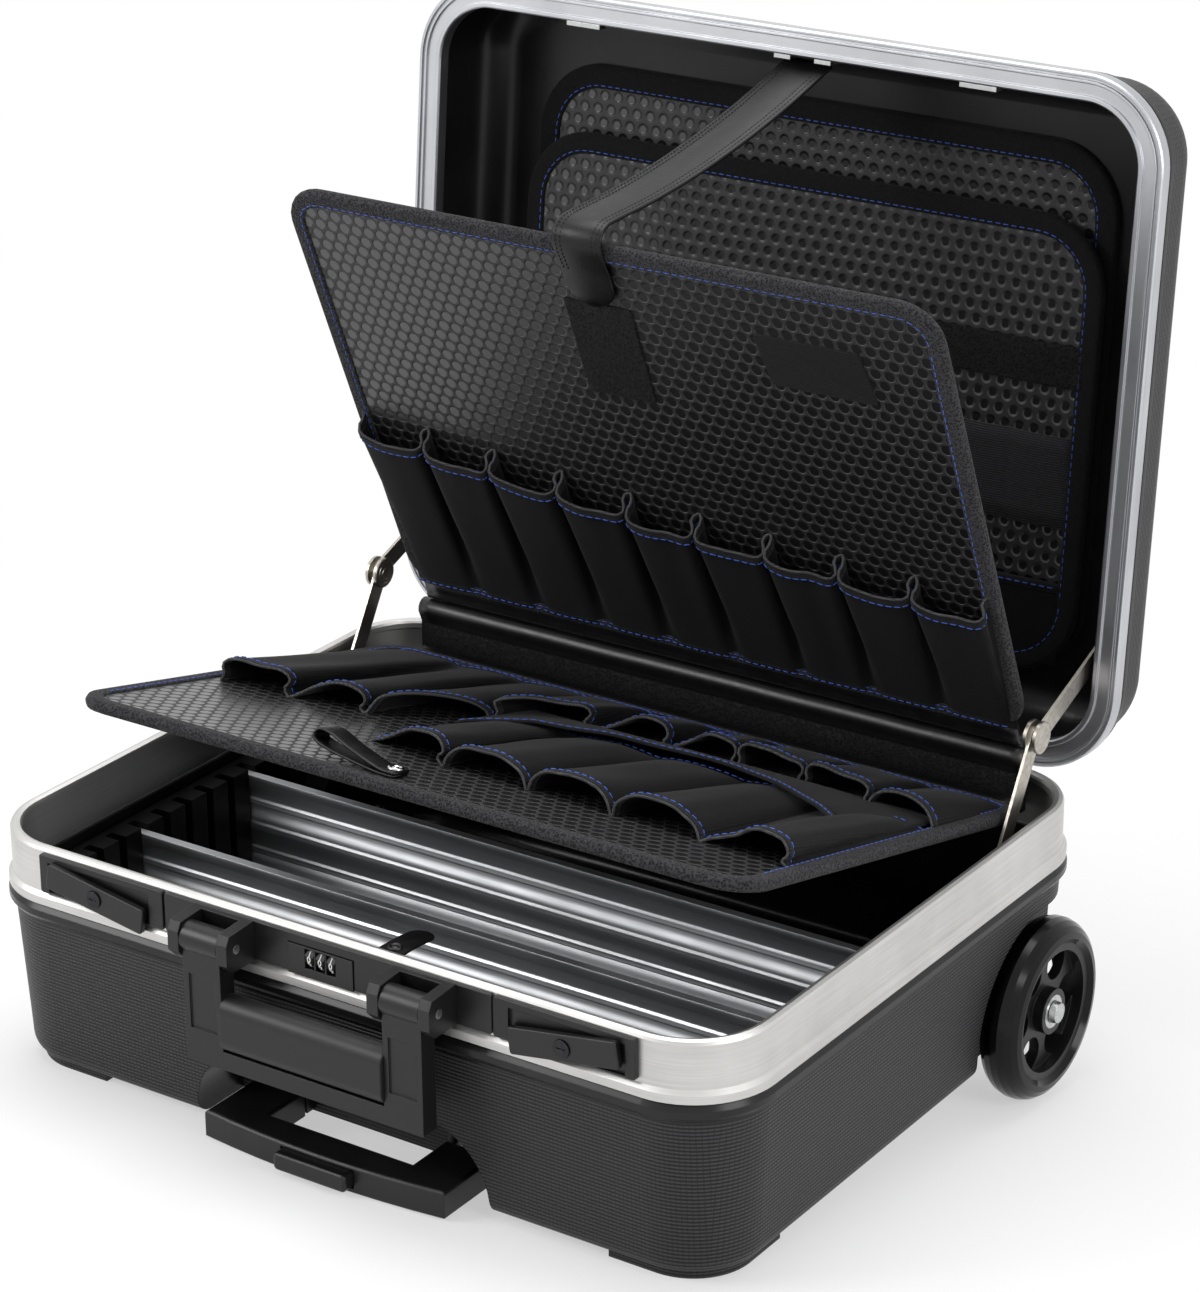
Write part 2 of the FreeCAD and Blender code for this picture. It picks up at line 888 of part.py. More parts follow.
def hinge_leaf_lid():
    """The leaf on the rear of the lid frame, drawn closed."""
    near = half_depth + lid_frame_outset
    far = hinge_back + knuckle_radius
    leaf = block("leaf_lid_plate", (-hinge_length / 2, near, mouth), (hinge_length / 2, near + hinge_leaf,
                 mouth + lid_frame_height))
    foot_strip = block("leaf_lid_strip", (-hinge_length / 2, near, mouth), (hinge_length / 2, far, mouth + hinge_leaf))
    solid = fuse("leaf_lid_solid", [leaf, foot_strip] + knuckles("knuckle_lid", 1))
    return cut("leaf_lid", solid, [hinge_bore("leaf_lid_bore")])


def hinge_bore(name):
    """The bore through the knuckles."""
    return rod(name, hinge_pin_radius + pin_clearance, hinge_length + 2, -hinge_length / 2 - 1, hinge_back, hinge_rise,
               FACING_SIDE)


def handle_bracket(name, side):
    """Two cheeks and a back plate that hold one arm of the carry handle."""
    inner = arm_inner - side_clearance - cheek_width
    outer = arm_inner + arm_width + side_clearance + cheek_width
    tip = pivot_back - barrel_radius
    reach = plate_face - tip
    outline = [
        (0, plate_bottom),
        (reach - 6, plate_bottom),
        (reach, plate_bottom + 6),
        (reach, plate_top - 7),
        (reach - 3, plate_top - 1.5),
        (0, plate_top),
    ]
    whole = extrusion(name + "_cheeks", outline, outer - inner, "XZ_Plane")
    start = -outer if side < 0 else inner
    place(whole, start + outer - inner, plate_face, 0, Rotation(ALONG_Z, -90))
    slot_low = arm_inner - side_clearance
    slot_x = -(slot_low + arm_width + 2 * side_clearance) if side < 0 else slot_low
    slot = block(name + "_slot", (slot_x, tip - 1, plate_bottom - 1),
                 (slot_x + arm_width + 2 * side_clearance, plate_face - 4, plate_top + 1))
    bore = rod(name + "_bore", handle_pin_radius, outer - inner + 2, start - 1, pivot_back, handle_pivot_rise, FACING_SIDE)
    return cut(name, whole, [slot, bore])


def handle_pin(name, side):
    """The pin through one bracket."""
    inner = arm_inner - side_clearance - cheek_width
    outer = arm_inner + arm_width + side_clearance + cheek_width
    start = -outer if side < 0 else inner
    return rod(name, handle_pin_radius, outer - inner, start, pivot_back, handle_pivot_rise, FACING_SIDE)


def handle_frame():
    """Two arms and a lower bar, with a barrel at the top of each arm."""
    outer = arm_inner + arm_width
    back = pivot_back + arm_thickness / 2
    front = pivot_back - arm_thickness / 2
    low = handle_pivot_rise - handle_drop
    pieces = []
    bores = []
    for side in (-1, 1):
        x = arm_inner if side > 0 else -outer
        pieces.append(block("arm_%d" % side, (x, front, low), (x + arm_width, back, handle_pivot_rise)))
        pieces.append(rod("barrel_%d" % side, barrel_radius, arm_width, x, pivot_back, handle_pivot_rise, FACING_SIDE))
        bores.append(rod("arm_bore_%d" % side, handle_pin_radius + pin_clearance, arm_width + 2, x - 1, pivot_back,
                         handle_pivot_rise, FACING_SIDE))
        bores.append(block("arm_step_%d" % side, (x + 4, front - 1, low + 22), (x + arm_width - 4, front + 1.2,
                           handle_pivot_rise - barrel_radius - 12)))
    pieces.append(block("lower_bar", (-outer, front, low), (outer, back, low + handle_bar)))
    return cut("handle_cut", fuse("handle_solid", pieces), bores)


def handle_grip():
    """The soft grip between the arms, round on all four long edges."""
    low = handle_pivot_rise - handle_drop + handle_bar
    body = panel("grip_bar", grip_thickness, grip_height, 2 * arm_inner, grip_thickness / 2 - 0.5)
    return place(body, -arm_inner, pivot_back, low + grip_height / 2, FACING_SIDE)


def front_plate():
    """The plate behind the carry handle, with a window for the lock."""
    body = panel("front_strip", 2 * plate_half, plate_top - plate_bottom, plate_thickness, 2, 0.8)
    place(body, 0, front_face, (plate_top + plate_bottom) / 2, FACING_FRONT)
    window = block("plate_window", (lock_center - lock_half - side_clearance, front_face - FAR, plate_bottom - 1),
                   (lock_center + lock_half + side_clearance, front_face + 1, rim_height - lip_height - 1))
    return cut("front_plate", body, [window])


def lock_body():
    """The combination lock with a slot and a shaft for its dials."""
    low = plate_bottom
    high = rim_height - lip_height - 1 - side_clearance
    face = plate_face - 0.8
    case = block("lock_case", (lock_center - lock_half, face, low), (lock_center + lock_half, face + lock_depth, high))
    slots = []
    for number in (-1, 0, 1):
        x = lock_center + number * dial_pitch
        half = dial_width / 2 + side_clearance
        room = dial_radius + side_clearance
        slots.append(block("dial_slot_%d" % number, (x - half, face - 1, dial_rise - room),
                           (x + half, front_face + dial_back + room, dial_rise + room)))
    opened = cut("lock_opened", case, slots)
    shaft = rod("dial_shaft", dial_pin_radius, 2 * (dial_pitch * 2), lock_center - dial_pitch * 2,
                front_face + dial_back, dial_rise, FACING_SIDE)
    return fuse("lock_body", [opened, shaft])


def dial(name, number):
    """One number wheel, with a facet for each digit."""
    count = 10
    body = new_body(name)
    sketch = sketch_on(body, name + "_outline", "XY_Plane")
    points = []
    for step in range(count):
        angle = 2 * math.pi * (step + 0.5) / count
        points.append((dial_radius * math.cos(angle), dial_radius * math.sin(angle)))
    draw_polygon(sketch, points)
    pad(body, sketch, dial_width)
    x = lock_center + number * dial_pitch - dial_width / 2
    place(body, x, front_face + dial_back, dial_rise, FACING_SIDE)
    bore = rod(name + "_bore", dial_pin_radius + pin_clearance, dial_width + 2, x - 1, front_face + dial_back, dial_rise,
               FACING_SIDE)
    return cut(name + "_cut", body, [bore])


def latch_plate(name, side):
    """One latch plate with a shallow window behind its lever."""
    length = latch_outer - latch_inner
    thickness = plate_thickness + 0.5
    middle = side * (latch_outer + latch_inner) / 2
    body = panel(name + "_face", length, plate_top - plate_bottom, thickness, 2, 0.8)
    place(body, middle, front_face, (plate_top + plate_bottom) / 2, FACING_FRONT)
    x = side * latch_pivot
    window = block(name + "_window", (x - lever_half - 2, front_face - FAR, latch_pivot_rise - lever_height / 2 + 1),
                   (x + lever_half + 2, front_face - thickness + window_depth, latch_pivot_rise + lever_height / 2 + 4))
    hub = rod(name + "_hub", key_radius, thickness + 1, x, front_face, latch_pivot_rise, FACING_FRONT)
    trimmed_hub = common(name + "_hub_trim", hub, block(name + "_hub_room", (x - FAR, front_face - thickness, 0),
                         (x + FAR, front_face, rim_height)))
    return fuse(name, [cut(name + "_open", body, [window]), trimmed_hub])


def latch_lever(name, side):
    """One latch lever, turned down at its inner end as when released."""
    body = panel(name + "_bar", 2 * lever_half, lever_height, lever_thickness, 2, 0.8)
    tilt = Rotation(Vector(0, 1, 0), -side * lever_angle.value)
    face = front_face - plate_thickness - 0.5 - lever_gap
    place(body, side * latch_pivot, face, latch_pivot_rise, tilt.multiply(FACING_FRONT))
    seat = rod(name + "_seat", key_radius + pin_clearance, key_thickness, side * latch_pivot,
               face - lever_thickness + key_thickness / 2 + seat_gap, latch_pivot_rise, FACING_FRONT)
    return cut(name, body, [seat])


def key_cylinder(name, side):
    """The round lock face in a lever, with its key slot."""
    face = front_face - plate_thickness - 0.5 - lever_gap - lever_thickness + key_thickness / 2
    disc = rod(name + "_disc", key_radius, key_thickness, side * latch_pivot, face, latch_pivot_rise, FACING_FRONT)
    slot = block(name + "_slot", (side * latch_pivot - 3, face - key_thickness - 1, latch_pivot_rise - 0.6),
                 (side * latch_pivot + 3, face - key_thickness + 1, latch_pivot_rise + 0.6))
    return cut(name, disc, [slot])


def inner_wall(height):
    """Half the width inside the drafted base shell at one height."""
    low = foot_height + shell_wall
    slope = (floor_inset - wall_inset) / (shell_height + FAR - low)
    return half_width - floor_inset - shell_wall + slope * (height - low)


rail_bottom = divider_bottom - rail_ledge
rail_outer = inner_wall(rail_bottom) - seat_gap


def divider(name, back):
    """An extruded aluminium divider with a top bead and three ribs on its front."""
    half = rail_outer - rail_thickness - divider_end_gap
    height = divider_top - divider_bottom
    wall = divider_wall / 2
    bead = divider_bead / 2
    points = [(-wall, 0), (wall, 0), (wall, height - divider_bead), (bead, height - divider_bead), (bead, height),
              (-bead, height), (-bead, height - divider_bead), (-wall, height - divider_bead)]
    for share in (0.72, 0.46, 0.2):
        rib = height * share
        points += [(-wall, rib + 3), (-wall - 1.2, rib + 1.5), (-wall - 1.2, rib - 1.5), (-wall, rib - 3)]
    body = extrusion(name, points, 2 * half, "XY_Plane")
    return place(body, -half, back, divider_bottom, FACING_SIDE)


def divider_rail(name, side):
    """A slotted rail on one side wall, with a ledge under the dividers."""
    outer = rail_outer
    plate_inner = outer - rail_thickness
    post_inner = plate_inner - rail_post
    end = rail_start + RAIL_SLOTS * rail_pitch
    pieces = []
    low, high = (plate_inner, outer) if side > 0 else (-outer, -plate_inner)
    top = divider_top + rail_ledge
    pieces.append(block(name + "_plate", (low, rail_start, rail_bottom), (high, end, top)))
    low, high = (post_inner, plate_inner) if side > 0 else (-plate_inner, -post_inner)
    pieces.append(block(name + "_ledge", (low, rail_start, rail_bottom), (high, end, divider_bottom)))
    post = rail_pitch - rail_slot
    for number in range(RAIL_SLOTS + 1):
        start = rail_start + number * rail_pitch - post / 2
        pieces.append(block("%s_post_%d" % (name, number), (low, start, rail_bottom), (high, start + post, top)))
    return fuse(name, pieces)


def closing_tab():
    """The leather tab inside the front rim, with its press stud."""
    near = front_face + frame_wall
    low = rim_height - tab_drop
    strip = block("tab_strip", (tab_offset - tab_width / 2, near, low), (tab_offset + tab_width / 2, near + tab_length,
                  low + tab_thickness))
    stud = rod("tab_stud", stud_radius, stud_height, tab_offset, near + tab_width, low + tab_thickness)
    return group("closing_tab", [strip, stud])


def spine():
    """The upright back of the folding boards, with a roll along its top and a foot on the frame."""
    back = spine_front + spine_thickness
    upright = block("spine_upright", (-spine_half, spine_front, spine_bottom), (spine_half, back, spine_top))
    roll = rod("spine_roll", roll_radius, 2 * spine_half, -spine_half, spine_front + spine_thickness / 2, spine_top,
               FACING_SIDE)
    low = rim_height - lip_height - 10
    reach = half_width - rim_corner
    foot_strip = block("spine_foot", (-reach, back, low), (reach, half_depth - frame_wall, low + 8))
    return fuse("spine", [upright, roll, foot_strip])


def board(name, half, length, corner):
    """A flat board with a leatherette hinge: a piped edge on the pivot line and a strip up to the board."""
    body = panel(name + "_panel", 2 * half, length - board_start, board_thickness, corner)
    place(body, 0, (length + board_start) / 2, -board_thickness / 2)
    reach = spine_half - corner
    piping = rod(name + "_piping", piping_radius, 2 * reach, -reach, 0, 0, FACING_SIDE)
    strip = block(name + "_strip", (-reach, 0, -board_thickness / 2), (reach, board_start + 1, board_thickness / 2))
    return fuse(name, [body, piping, strip])


def pocket_row(name, count, left, right, start, height, side):
    """A row of sewn pockets: a front sheet, seams between the pockets and a closed lower end."""
    low = side * (board_thickness / 2 + 0.3)
    outer = side * (board_thickness / 2 + 0.3 + pocket_room)
    pitch = (sized(right) - left) / count
    near, far = (low, outer) if side > 0 else (outer, low)
    sheet_low, sheet_high = (outer, outer + pocket_wall) if side > 0 else (outer - pocket_wall, outer)
    solids = [block(name + "_sheet", (left, start, sheet_low), (right, start + height, sheet_high))]
    solids.append(block(name + "_end", (left, start, near), (right, start + pocket_wall, far)))
    for number in range(count + 1):
        inset = pocket_wall * number / count
        x = left + number * pitch - inset
        solids.append(block("%s_seam_%d" % (name, number), (x, start + pocket_wall, near), (x + pocket_wall,
                            start + height, far)))
    return group(name, solids)


def board_patches():
    """The hook patch and the elastic tab on the front of the upper board."""
    low = board_thickness / 2
    patch = block("hook_patch", (strap_center - patch_width / 2, patch_top - patch_height, low),
                  (strap_center + patch_width / 2, patch_top - strap_tip_length - 10, low + patch_thickness))
    tab = block("elastic_tab", (elastic_tab_center - elastic_tab_width / 2, elastic_tab_top - elastic_tab_height, low),
                (elastic_tab_center + elastic_tab_width / 2, elastic_tab_top, low + patch_thickness))
    return group("board_patches", [patch, tab])


def pull_loop():
    """The pull loop on the lower board: a strap arched over two feet, with a stud on one foot."""
    under = -board_thickness / 2
    left = loop_center - loop_half
    right = loop_center + loop_half
    top = under - loop_rise
    outline = [
        (left, under),
        (left + 8, top),
        (right - 22, top),
        (right - 12, under - tab_thickness),
        (right, under - tab_thickness),
        (right, under),
        (right - 14, under),
        (right - 24, top + tab_thickness),
        (left + 10, top + tab_thickness),
        (left + tab_thickness + 1, under),
    ]
    strip = extrusion("loop_strip", outline, loop_width, "XZ_Plane")
    place(strip, 0, loop_start + loop_width, 0)
    stud = rod("loop_stud", stud_radius, stud_height, right - 6, loop_start + loop_width / 2,
               under - tab_thickness - stud_height)
    return group("pull_loop", [strip, stud])


def stay_link(name, start, end, side, layer):
    """One flat link between two pivots, in its own layer beside the boards, with half of the knee's rivet."""
    back, rise = [far - near for near, far in zip(start, end)]
    length = math.hypot(float(back), float(rise))
    span = Size(length, "sqrt(%s ^ 2 + %s ^ 2)" % (back.formula, rise.formula))
    half = stay_width / 2
    hole = stay_rivet_radius + pin_clearance
    bar = block(name + "_bar", (0, -half, 0), (span, half, stay_thickness))
    ends = [rod(name + "_start", half, stay_thickness, 0, 0, 0), rod(name + "_end", half, stay_thickness, span, 0, 0)]
    solid = fuse(name + "_flat", [bar] + ends)
    holed = cut(name + "_holed", solid, [rod(name + "_hole", hole, stay_thickness + 2, 0, 0, -1)])
    outward = side if layer else -side
    level = stay_thickness if outward > 0 else -knee_disc_height
    head = rod(name + "_head", knee_disc_radius, knee_disc_height, span, 0, level)
    link = fuse(name + "_riveted", [holed, head])
    angle = math.degrees(math.atan2(float(rise), float(back)))
    x = stay_inner + layer * (stay_thickness + stay_gap)
    low = x if side > 0 else -x - stay_thickness
    turn = FACING_SIDE.multiply(Rotation(ALONG_Z, angle))
    return place(link, low, start[0], start[1], turn)


stay_base = (stay_base_back, stay_base_rise)
stay_knee = (stay_knee_back, stay_knee_rise)
stay_lid = (stay_lid_back, stay_lid_rise)


def stay_rivet(name, side, pivot, layer, wall):
    """A rivet from a wall to one stay link, with a head on the link."""
    x = stay_inner + layer * (stay_thickness + stay_gap)
    head = x - stay_gap
    shank = rod(name + "_shank", stay_rivet_radius, wall - head, head if side > 0 else -wall, *pivot, FACING_SIDE)
    cap_x = head - rivet_head_height if side > 0 else -head
    cap = rod(name + "_cap", rivet_head_radius, rivet_head_height, cap_x, *pivot, FACING_SIDE)
    collar_x = x + stay_thickness + stay_gap
    collar = rod(name + "_collar", rivet_head_radius, wall - collar_x, collar_x if side > 0 else -wall, *pivot,
                 FACING_SIDE)
    return fuse(name, [shank, cap, collar])


def tyre(name, side):
    """A round-shouldered tyre."""
    half = tyre_width / 2
    seat = wheel_radius - tyre_height
    profile = [(seat, -hub_width / 2), (seat, hub_width / 2)]
    steps = 9
    for step in range(steps + 1):
        angle = math.radians(90 - 180 * step / steps)
        reach = seat + 3 + (tyre_height - 3) * math.cos(angle)
        profile.append((reach, half * math.sin(angle)))
    body = turned(name, profile)
    return place(body, side * wheel_plane, wheel_back, wheel_rise, FACING_SIDE)


def hub(name, side):
    """A wheel body: rim, star-shaped web and bored boss."""
    seat = wheel_radius - tyre_height
    half = hub_width / 2
    web = web_thickness / 2
    inner = seat - rim_thickness
    bore = bearing_radius
    profile = [(bore, -half), (boss_radius, -half), (boss_radius, -web), (inner, -web), (inner, -half), (seat, -half),
               (seat, half), (inner, half), (inner, web), (boss_radius, web), (boss_radius, half), (bore, half)]
    body = turned(name + "_turned", profile)
    count = 6
    holes = []
    for number in range(count):
        angle = 2 * math.pi * number / count
        radius = inner - spoke_hole_radius + 2
        holes.append(rod("%s_hole_%d" % (name, number), spoke_hole_radius, web_thickness + 2, radius * math.cos(angle),
                         radius * math.sin(angle), -web - 1))
    rim_guard = turned(name + "_guard", [(inner, -half), (seat, -half), (seat, half), (inner, half)])
    star = cut(name + "_star", body, holes)
    solid = fuse(name, [star, rim_guard])
    return place(solid, side * wheel_plane, wheel_back, wheel_rise, FACING_SIDE)


def bearings(name, side):
    """Two ball bearings in one hub."""
    half = hub_width / 2
    rings = []
    for number, low in enumerate((-half, half - bearing_width)):
        profile = [(axle_radius + pin_clearance, 0), (bearing_radius, 0), (bearing_radius, bearing_width),
                   (axle_radius + pin_clearance, bearing_width)]
        body = turned("%s_%d" % (name, number), profile)
        rings.append(place(body, 0, 0, low))
    return place(group(name, rings), side * wheel_plane, wheel_back, wheel_rise, FACING_SIDE)


def axle_bolt(name, side):
    """The bolt that carries one wheel, with its head outside, a spacer and a nut inside the base."""
    tip = hub_width / 2 + side_clearance
    wall_near = well_face - wheel_plane
    inner_end = wall_near - shell_wall - axle_head_height
    profile = [
        (0, inner_end),
        (axle_head_radius, inner_end),
        (axle_head_radius, wall_near - shell_wall),
        (axle_radius, wall_near - shell_wall),
        (axle_radius, wall_near),
        (axle_head_radius, wall_near),
        (axle_head_radius, -hub_width / 2 - side_clearance),
        (axle_radius, -hub_width / 2 - side_clearance),
        (axle_radius, tip),
        (axle_head_radius, tip),
        (axle_head_radius - 1, tip + axle_head_height),
        (0, tip + axle_head_height),
    ]
    body = turned(name, profile)
    turn = FACING_SIDE if side > 0 else Rotation(ALONG_Z, 180).multiply(FACING_SIDE)
    return place(body, side * wheel_plane, wheel_back, wheel_rise, turn)


def trolley_guides():
    """A collar round each tube where it leaves the notch."""
    collars = []
    for side in (-1, 1):
        label = "guide_%d" % side
        outside = tube_block(label + "_outside", side, tube_width + 2 * guide_wall, tube_thickness + guide_wall,
                             notch_back - guide_length, guide_length)
        bore = tube_block(label + "_bore", side, tube_bore_width, tube_bore_thickness, notch_back - guide_length - 1,
                          guide_length + 2)
        collars.append(cut(label, outside, [bore]))
    return group("trolley_guides", collars)


def trolley_cover():
    """The cover over the trolley tubes on the floor of the base."""
    low = foot_height + shell_wall
    near = notch_back + shell_wall
    far = near + tube_length + 4
    outside = block("cover_outside", (-cover_half, near, low), (cover_half, far + cover_wall, low + cover_height))
    inside = block("cover_inside", (cover_wall - cover_half, near - 1, low - 1),
                   (cover_half - cover_wall, far, low + cover_height - cover_wall))
    return cut("trolley_cover", outside, [inside])


bow_front = floor_front - bow_out
bow_back = bow_front + bow_bar
arm_end = notch_back - guide_length - 2


def bow_outline():
    """The bow's plan: a bulged front bar with an arm at each end."""
    inner = bow_half - bow_arm
    points = [(-bow_half, arm_end), (-bow_half, bow_front)]
    steps = 8
    for step in range(1, steps):
        share = -1 + 2 * step / steps
        points.append((bow_half * share, bow_front - bow_bulge * (1 - share * share)))
    points += [(bow_half, bow_front), (bow_half, arm_end), (inner, arm_end), (inner, bow_back), (-inner, bow_back),
               (-inner, arm_end)]
    return points


def trolley_bow():
    """The pull bar of the trolley handle, with a slot for its button."""
    body = extrusion("bow_bar_solid", bow_outline(), bow_height)
    round_edges(body, sized(2.5), at_height(bow_height))
    place(body, 0, 0, bow_low)
    near = bow_front - bow_bulge - button_out
    slot = block("button_slot", (-button_half - side_clearance, near - 1, bow_low + button_margin),
                 (button_half + side_clearance, near + button_depth + button_travel + side_clearance,
                  bow_low + bow_height - button_margin))
    return cut("trolley_bow", body, [slot])


def trolley_button():
    """The push button in the front of the bow."""
    low = bow_low + button_margin + side_clearance
    height = bow_height - 2 * button_margin - 2 * side_clearance
    near = bow_front - bow_bulge - button_out
    body = panel("button_bar", 2 * button_half, height, button_depth, 3, 2)
    return place(body, 0, near + button_depth, low + height / 2, FACING_FRONT)


def organiser_layer(name, level, front_edge):
    """One layer of the document panel, drawn with the lid closed."""
    length = organiser_rear_edge - front_edge
    body = panel(name, 2 * organiser_half, length, organiser_thickness, 40)
    return place(body, 0, (organiser_rear_edge + front_edge) / 2, level)


organiser_level = lid_top - shell_wall - organiser_thickness - seat_gap
pocket_level = organiser_level - organiser_gap - organiser_thickness


def organiser_front():
    """The front layer, with strips that hold it off the back layer on three sides."""
    front_edge = organiser_front_edge + organiser_lower
    sheet = organiser_layer("organiser_sheet", pocket_level, front_edge)
    low = pocket_level + organiser_thickness
    strips = []
    for number, side in enumerate((-1, 1)):
        x = organiser_half - organiser_seam if side > 0 else -organiser_half
        strips.append(block("organiser_side_%d" % number, (x, front_edge + organiser_corner_gap, low),
                            (x + organiser_seam, organiser_rear_edge - organiser_corner_gap, low + organiser_gap)))
    reach = organiser_half - organiser_corner_gap
    strips.append(block("organiser_end", (-reach, organiser_rear_edge - organiser_seam, low),
                        (reach, organiser_rear_edge, low + organiser_gap)))
    return fuse("organiser_front", [sheet] + strips)


def organiser_bands():
    """The hook strip, the elastic loops and the small pocket on the document panel."""
    low = pocket_level - band_thickness
    hook_end = organiser_half - hook_band_end_gap
    hook_low = band_place - hook_band_offset
    hook = block("hook_band", (hook_end - hook_band_length, hook_low, low),
                 (hook_end, hook_low + hook_band_width, pocket_level))
    left = band_far_gap - organiser_half
    right = organiser_half - band_end_gap
    elastic = block("elastic_band", (left, band_place, low), (right, band_place + band_width, pocket_level))
    bottom = organiser_rear_edge - small_pocket_lift
    pouch = block("small_pocket", (left, bottom - small_pocket_height, pocket_level - small_pocket_depth),
                  (right, bottom, pocket_level))
    return group("organiser_bands", [hook, elastic, pouch])


def latch_strikes():
    """The two catches on the lid frame that the latches draw down."""
    inner = front_face - lid_frame_outset + lid_frame_width
    solids = []
    for side in (-1, 1):
        x = side * strike_half_spacing
        solids.append(block("strike_%d" % side, (x - strike_width / 2, inner, mouth + 1), (x + strike_width / 2,
                            inner + strike_height, mouth + lid_frame_height - 1)))
    return group("latch_strikes", solids)


def strap_clips():
    """The two clips that hold the strap to the lid frame."""
    inner = front_face - lid_frame_outset + lid_frame_width
    solids = []
    for side in (-1, 1):
        x = strap_anchor_x + side * clip_spacing / 2
        solids.append(block("clip_%d" % side, (x - clip_width / 2, inner, mouth + 2),
                            (x + clip_width / 2, inner + strike_height, mouth + lid_frame_height + 6)))
    return group("strap_clips", solids)


def strap_points():
    """The strap's line in the YZ plane, from the lid's clips over the board's free edge and down its front."""
    inner = front_face - lid_frame_outset + lid_frame_width
    start = inner + strike_height + strap_thickness / 2 + stay_gap
    anchor = LID_OPEN.multVec(Vector(0, float(start), float(mouth + lid_frame_height + strike_height)))
    above = board_thickness.value / 2 + strap_thickness.value / 2 + 0.6
    edge = UPPER_PLACE.multVec(Vector(0, upper_length.value + above, -above))
    over = UPPER_PLACE.multVec(Vector(0, upper_length.value + above, above))
    tip = UPPER_PLACE.multVec(Vector(0, upper_length.value - strap_tip_length.value, above))
    middle = (anchor + edge) * 0.5 - Vector(0, 0, strap_sag.value)
    return anchor, middle, edge, over, tip


def strap_sides(line, number):
    """The two sides of the strap's thickness at one point of its line, square to the line there."""
    before = line[max(number - 1, 0)]
    after = line[min(number + 1, len(line) - 1)]
    along = (after - before).normalize()
    across = Vector(0, -along.z, along.y) * (strap_thickness.value / 2)
    return line[number] + across, line[number] - across


def strap_line():
    """The whole line of the strap: the free stretch, then the turn over the board's edge and the tip."""
    anchor, middle, edge, over, tip = strap_points()
    centers = []
    for step in range(STRAP_STEPS + 1):
        share = step / STRAP_STEPS
        centers.append(anchor * (1 - share) ** 2 + middle * (2 * share * (1 - share)) + edge * share ** 2)
    return centers + [over, over + (tip - over) * 0.5, tip]


def strap():
    """The free stretch of the leather strap, from the clips to the board's edge."""
    line = strap_line()
    lean = strap_anchor_x.value - strap_center.value
    wide = Vector(strap_width.value, 0, 0)
    outlines = []
    for step in range(STRAP_STEPS + 1):
        left = strap_center.value - strap_width.value / 2 + lean * (1 - step / STRAP_STEPS)
        near, far = [side + Vector(left, 0, 0) for side in strap_sides(line, step)]
        outlines.append(Part.makePolygon([near, near + wide, far + wide, far, near]))
    item = doc.addObject("Part::Feature", "strap")
    item.Shape = Part.makeLoft(outlines, True, True)
    return item


def strap_tip():
    """The end of the strap, laid over the board's edge."""
    line = strap_line()
    left = Vector(strap_center.value - strap_width.value / 2, 0, 0)
    sides = [strap_sides(line, number) for number in range(STRAP_STEPS, len(line))]
    outline = [near + left for near, _ in sides] + [far + left for _, far in reversed(sides)]
    item = doc.addObject("Part::Feature", "strap_tip")
    item.Shape = Part.Face(Part.makePolygon(outline + outline[:1])).extrude(Vector(strap_width.value, 0, 0))
    return item


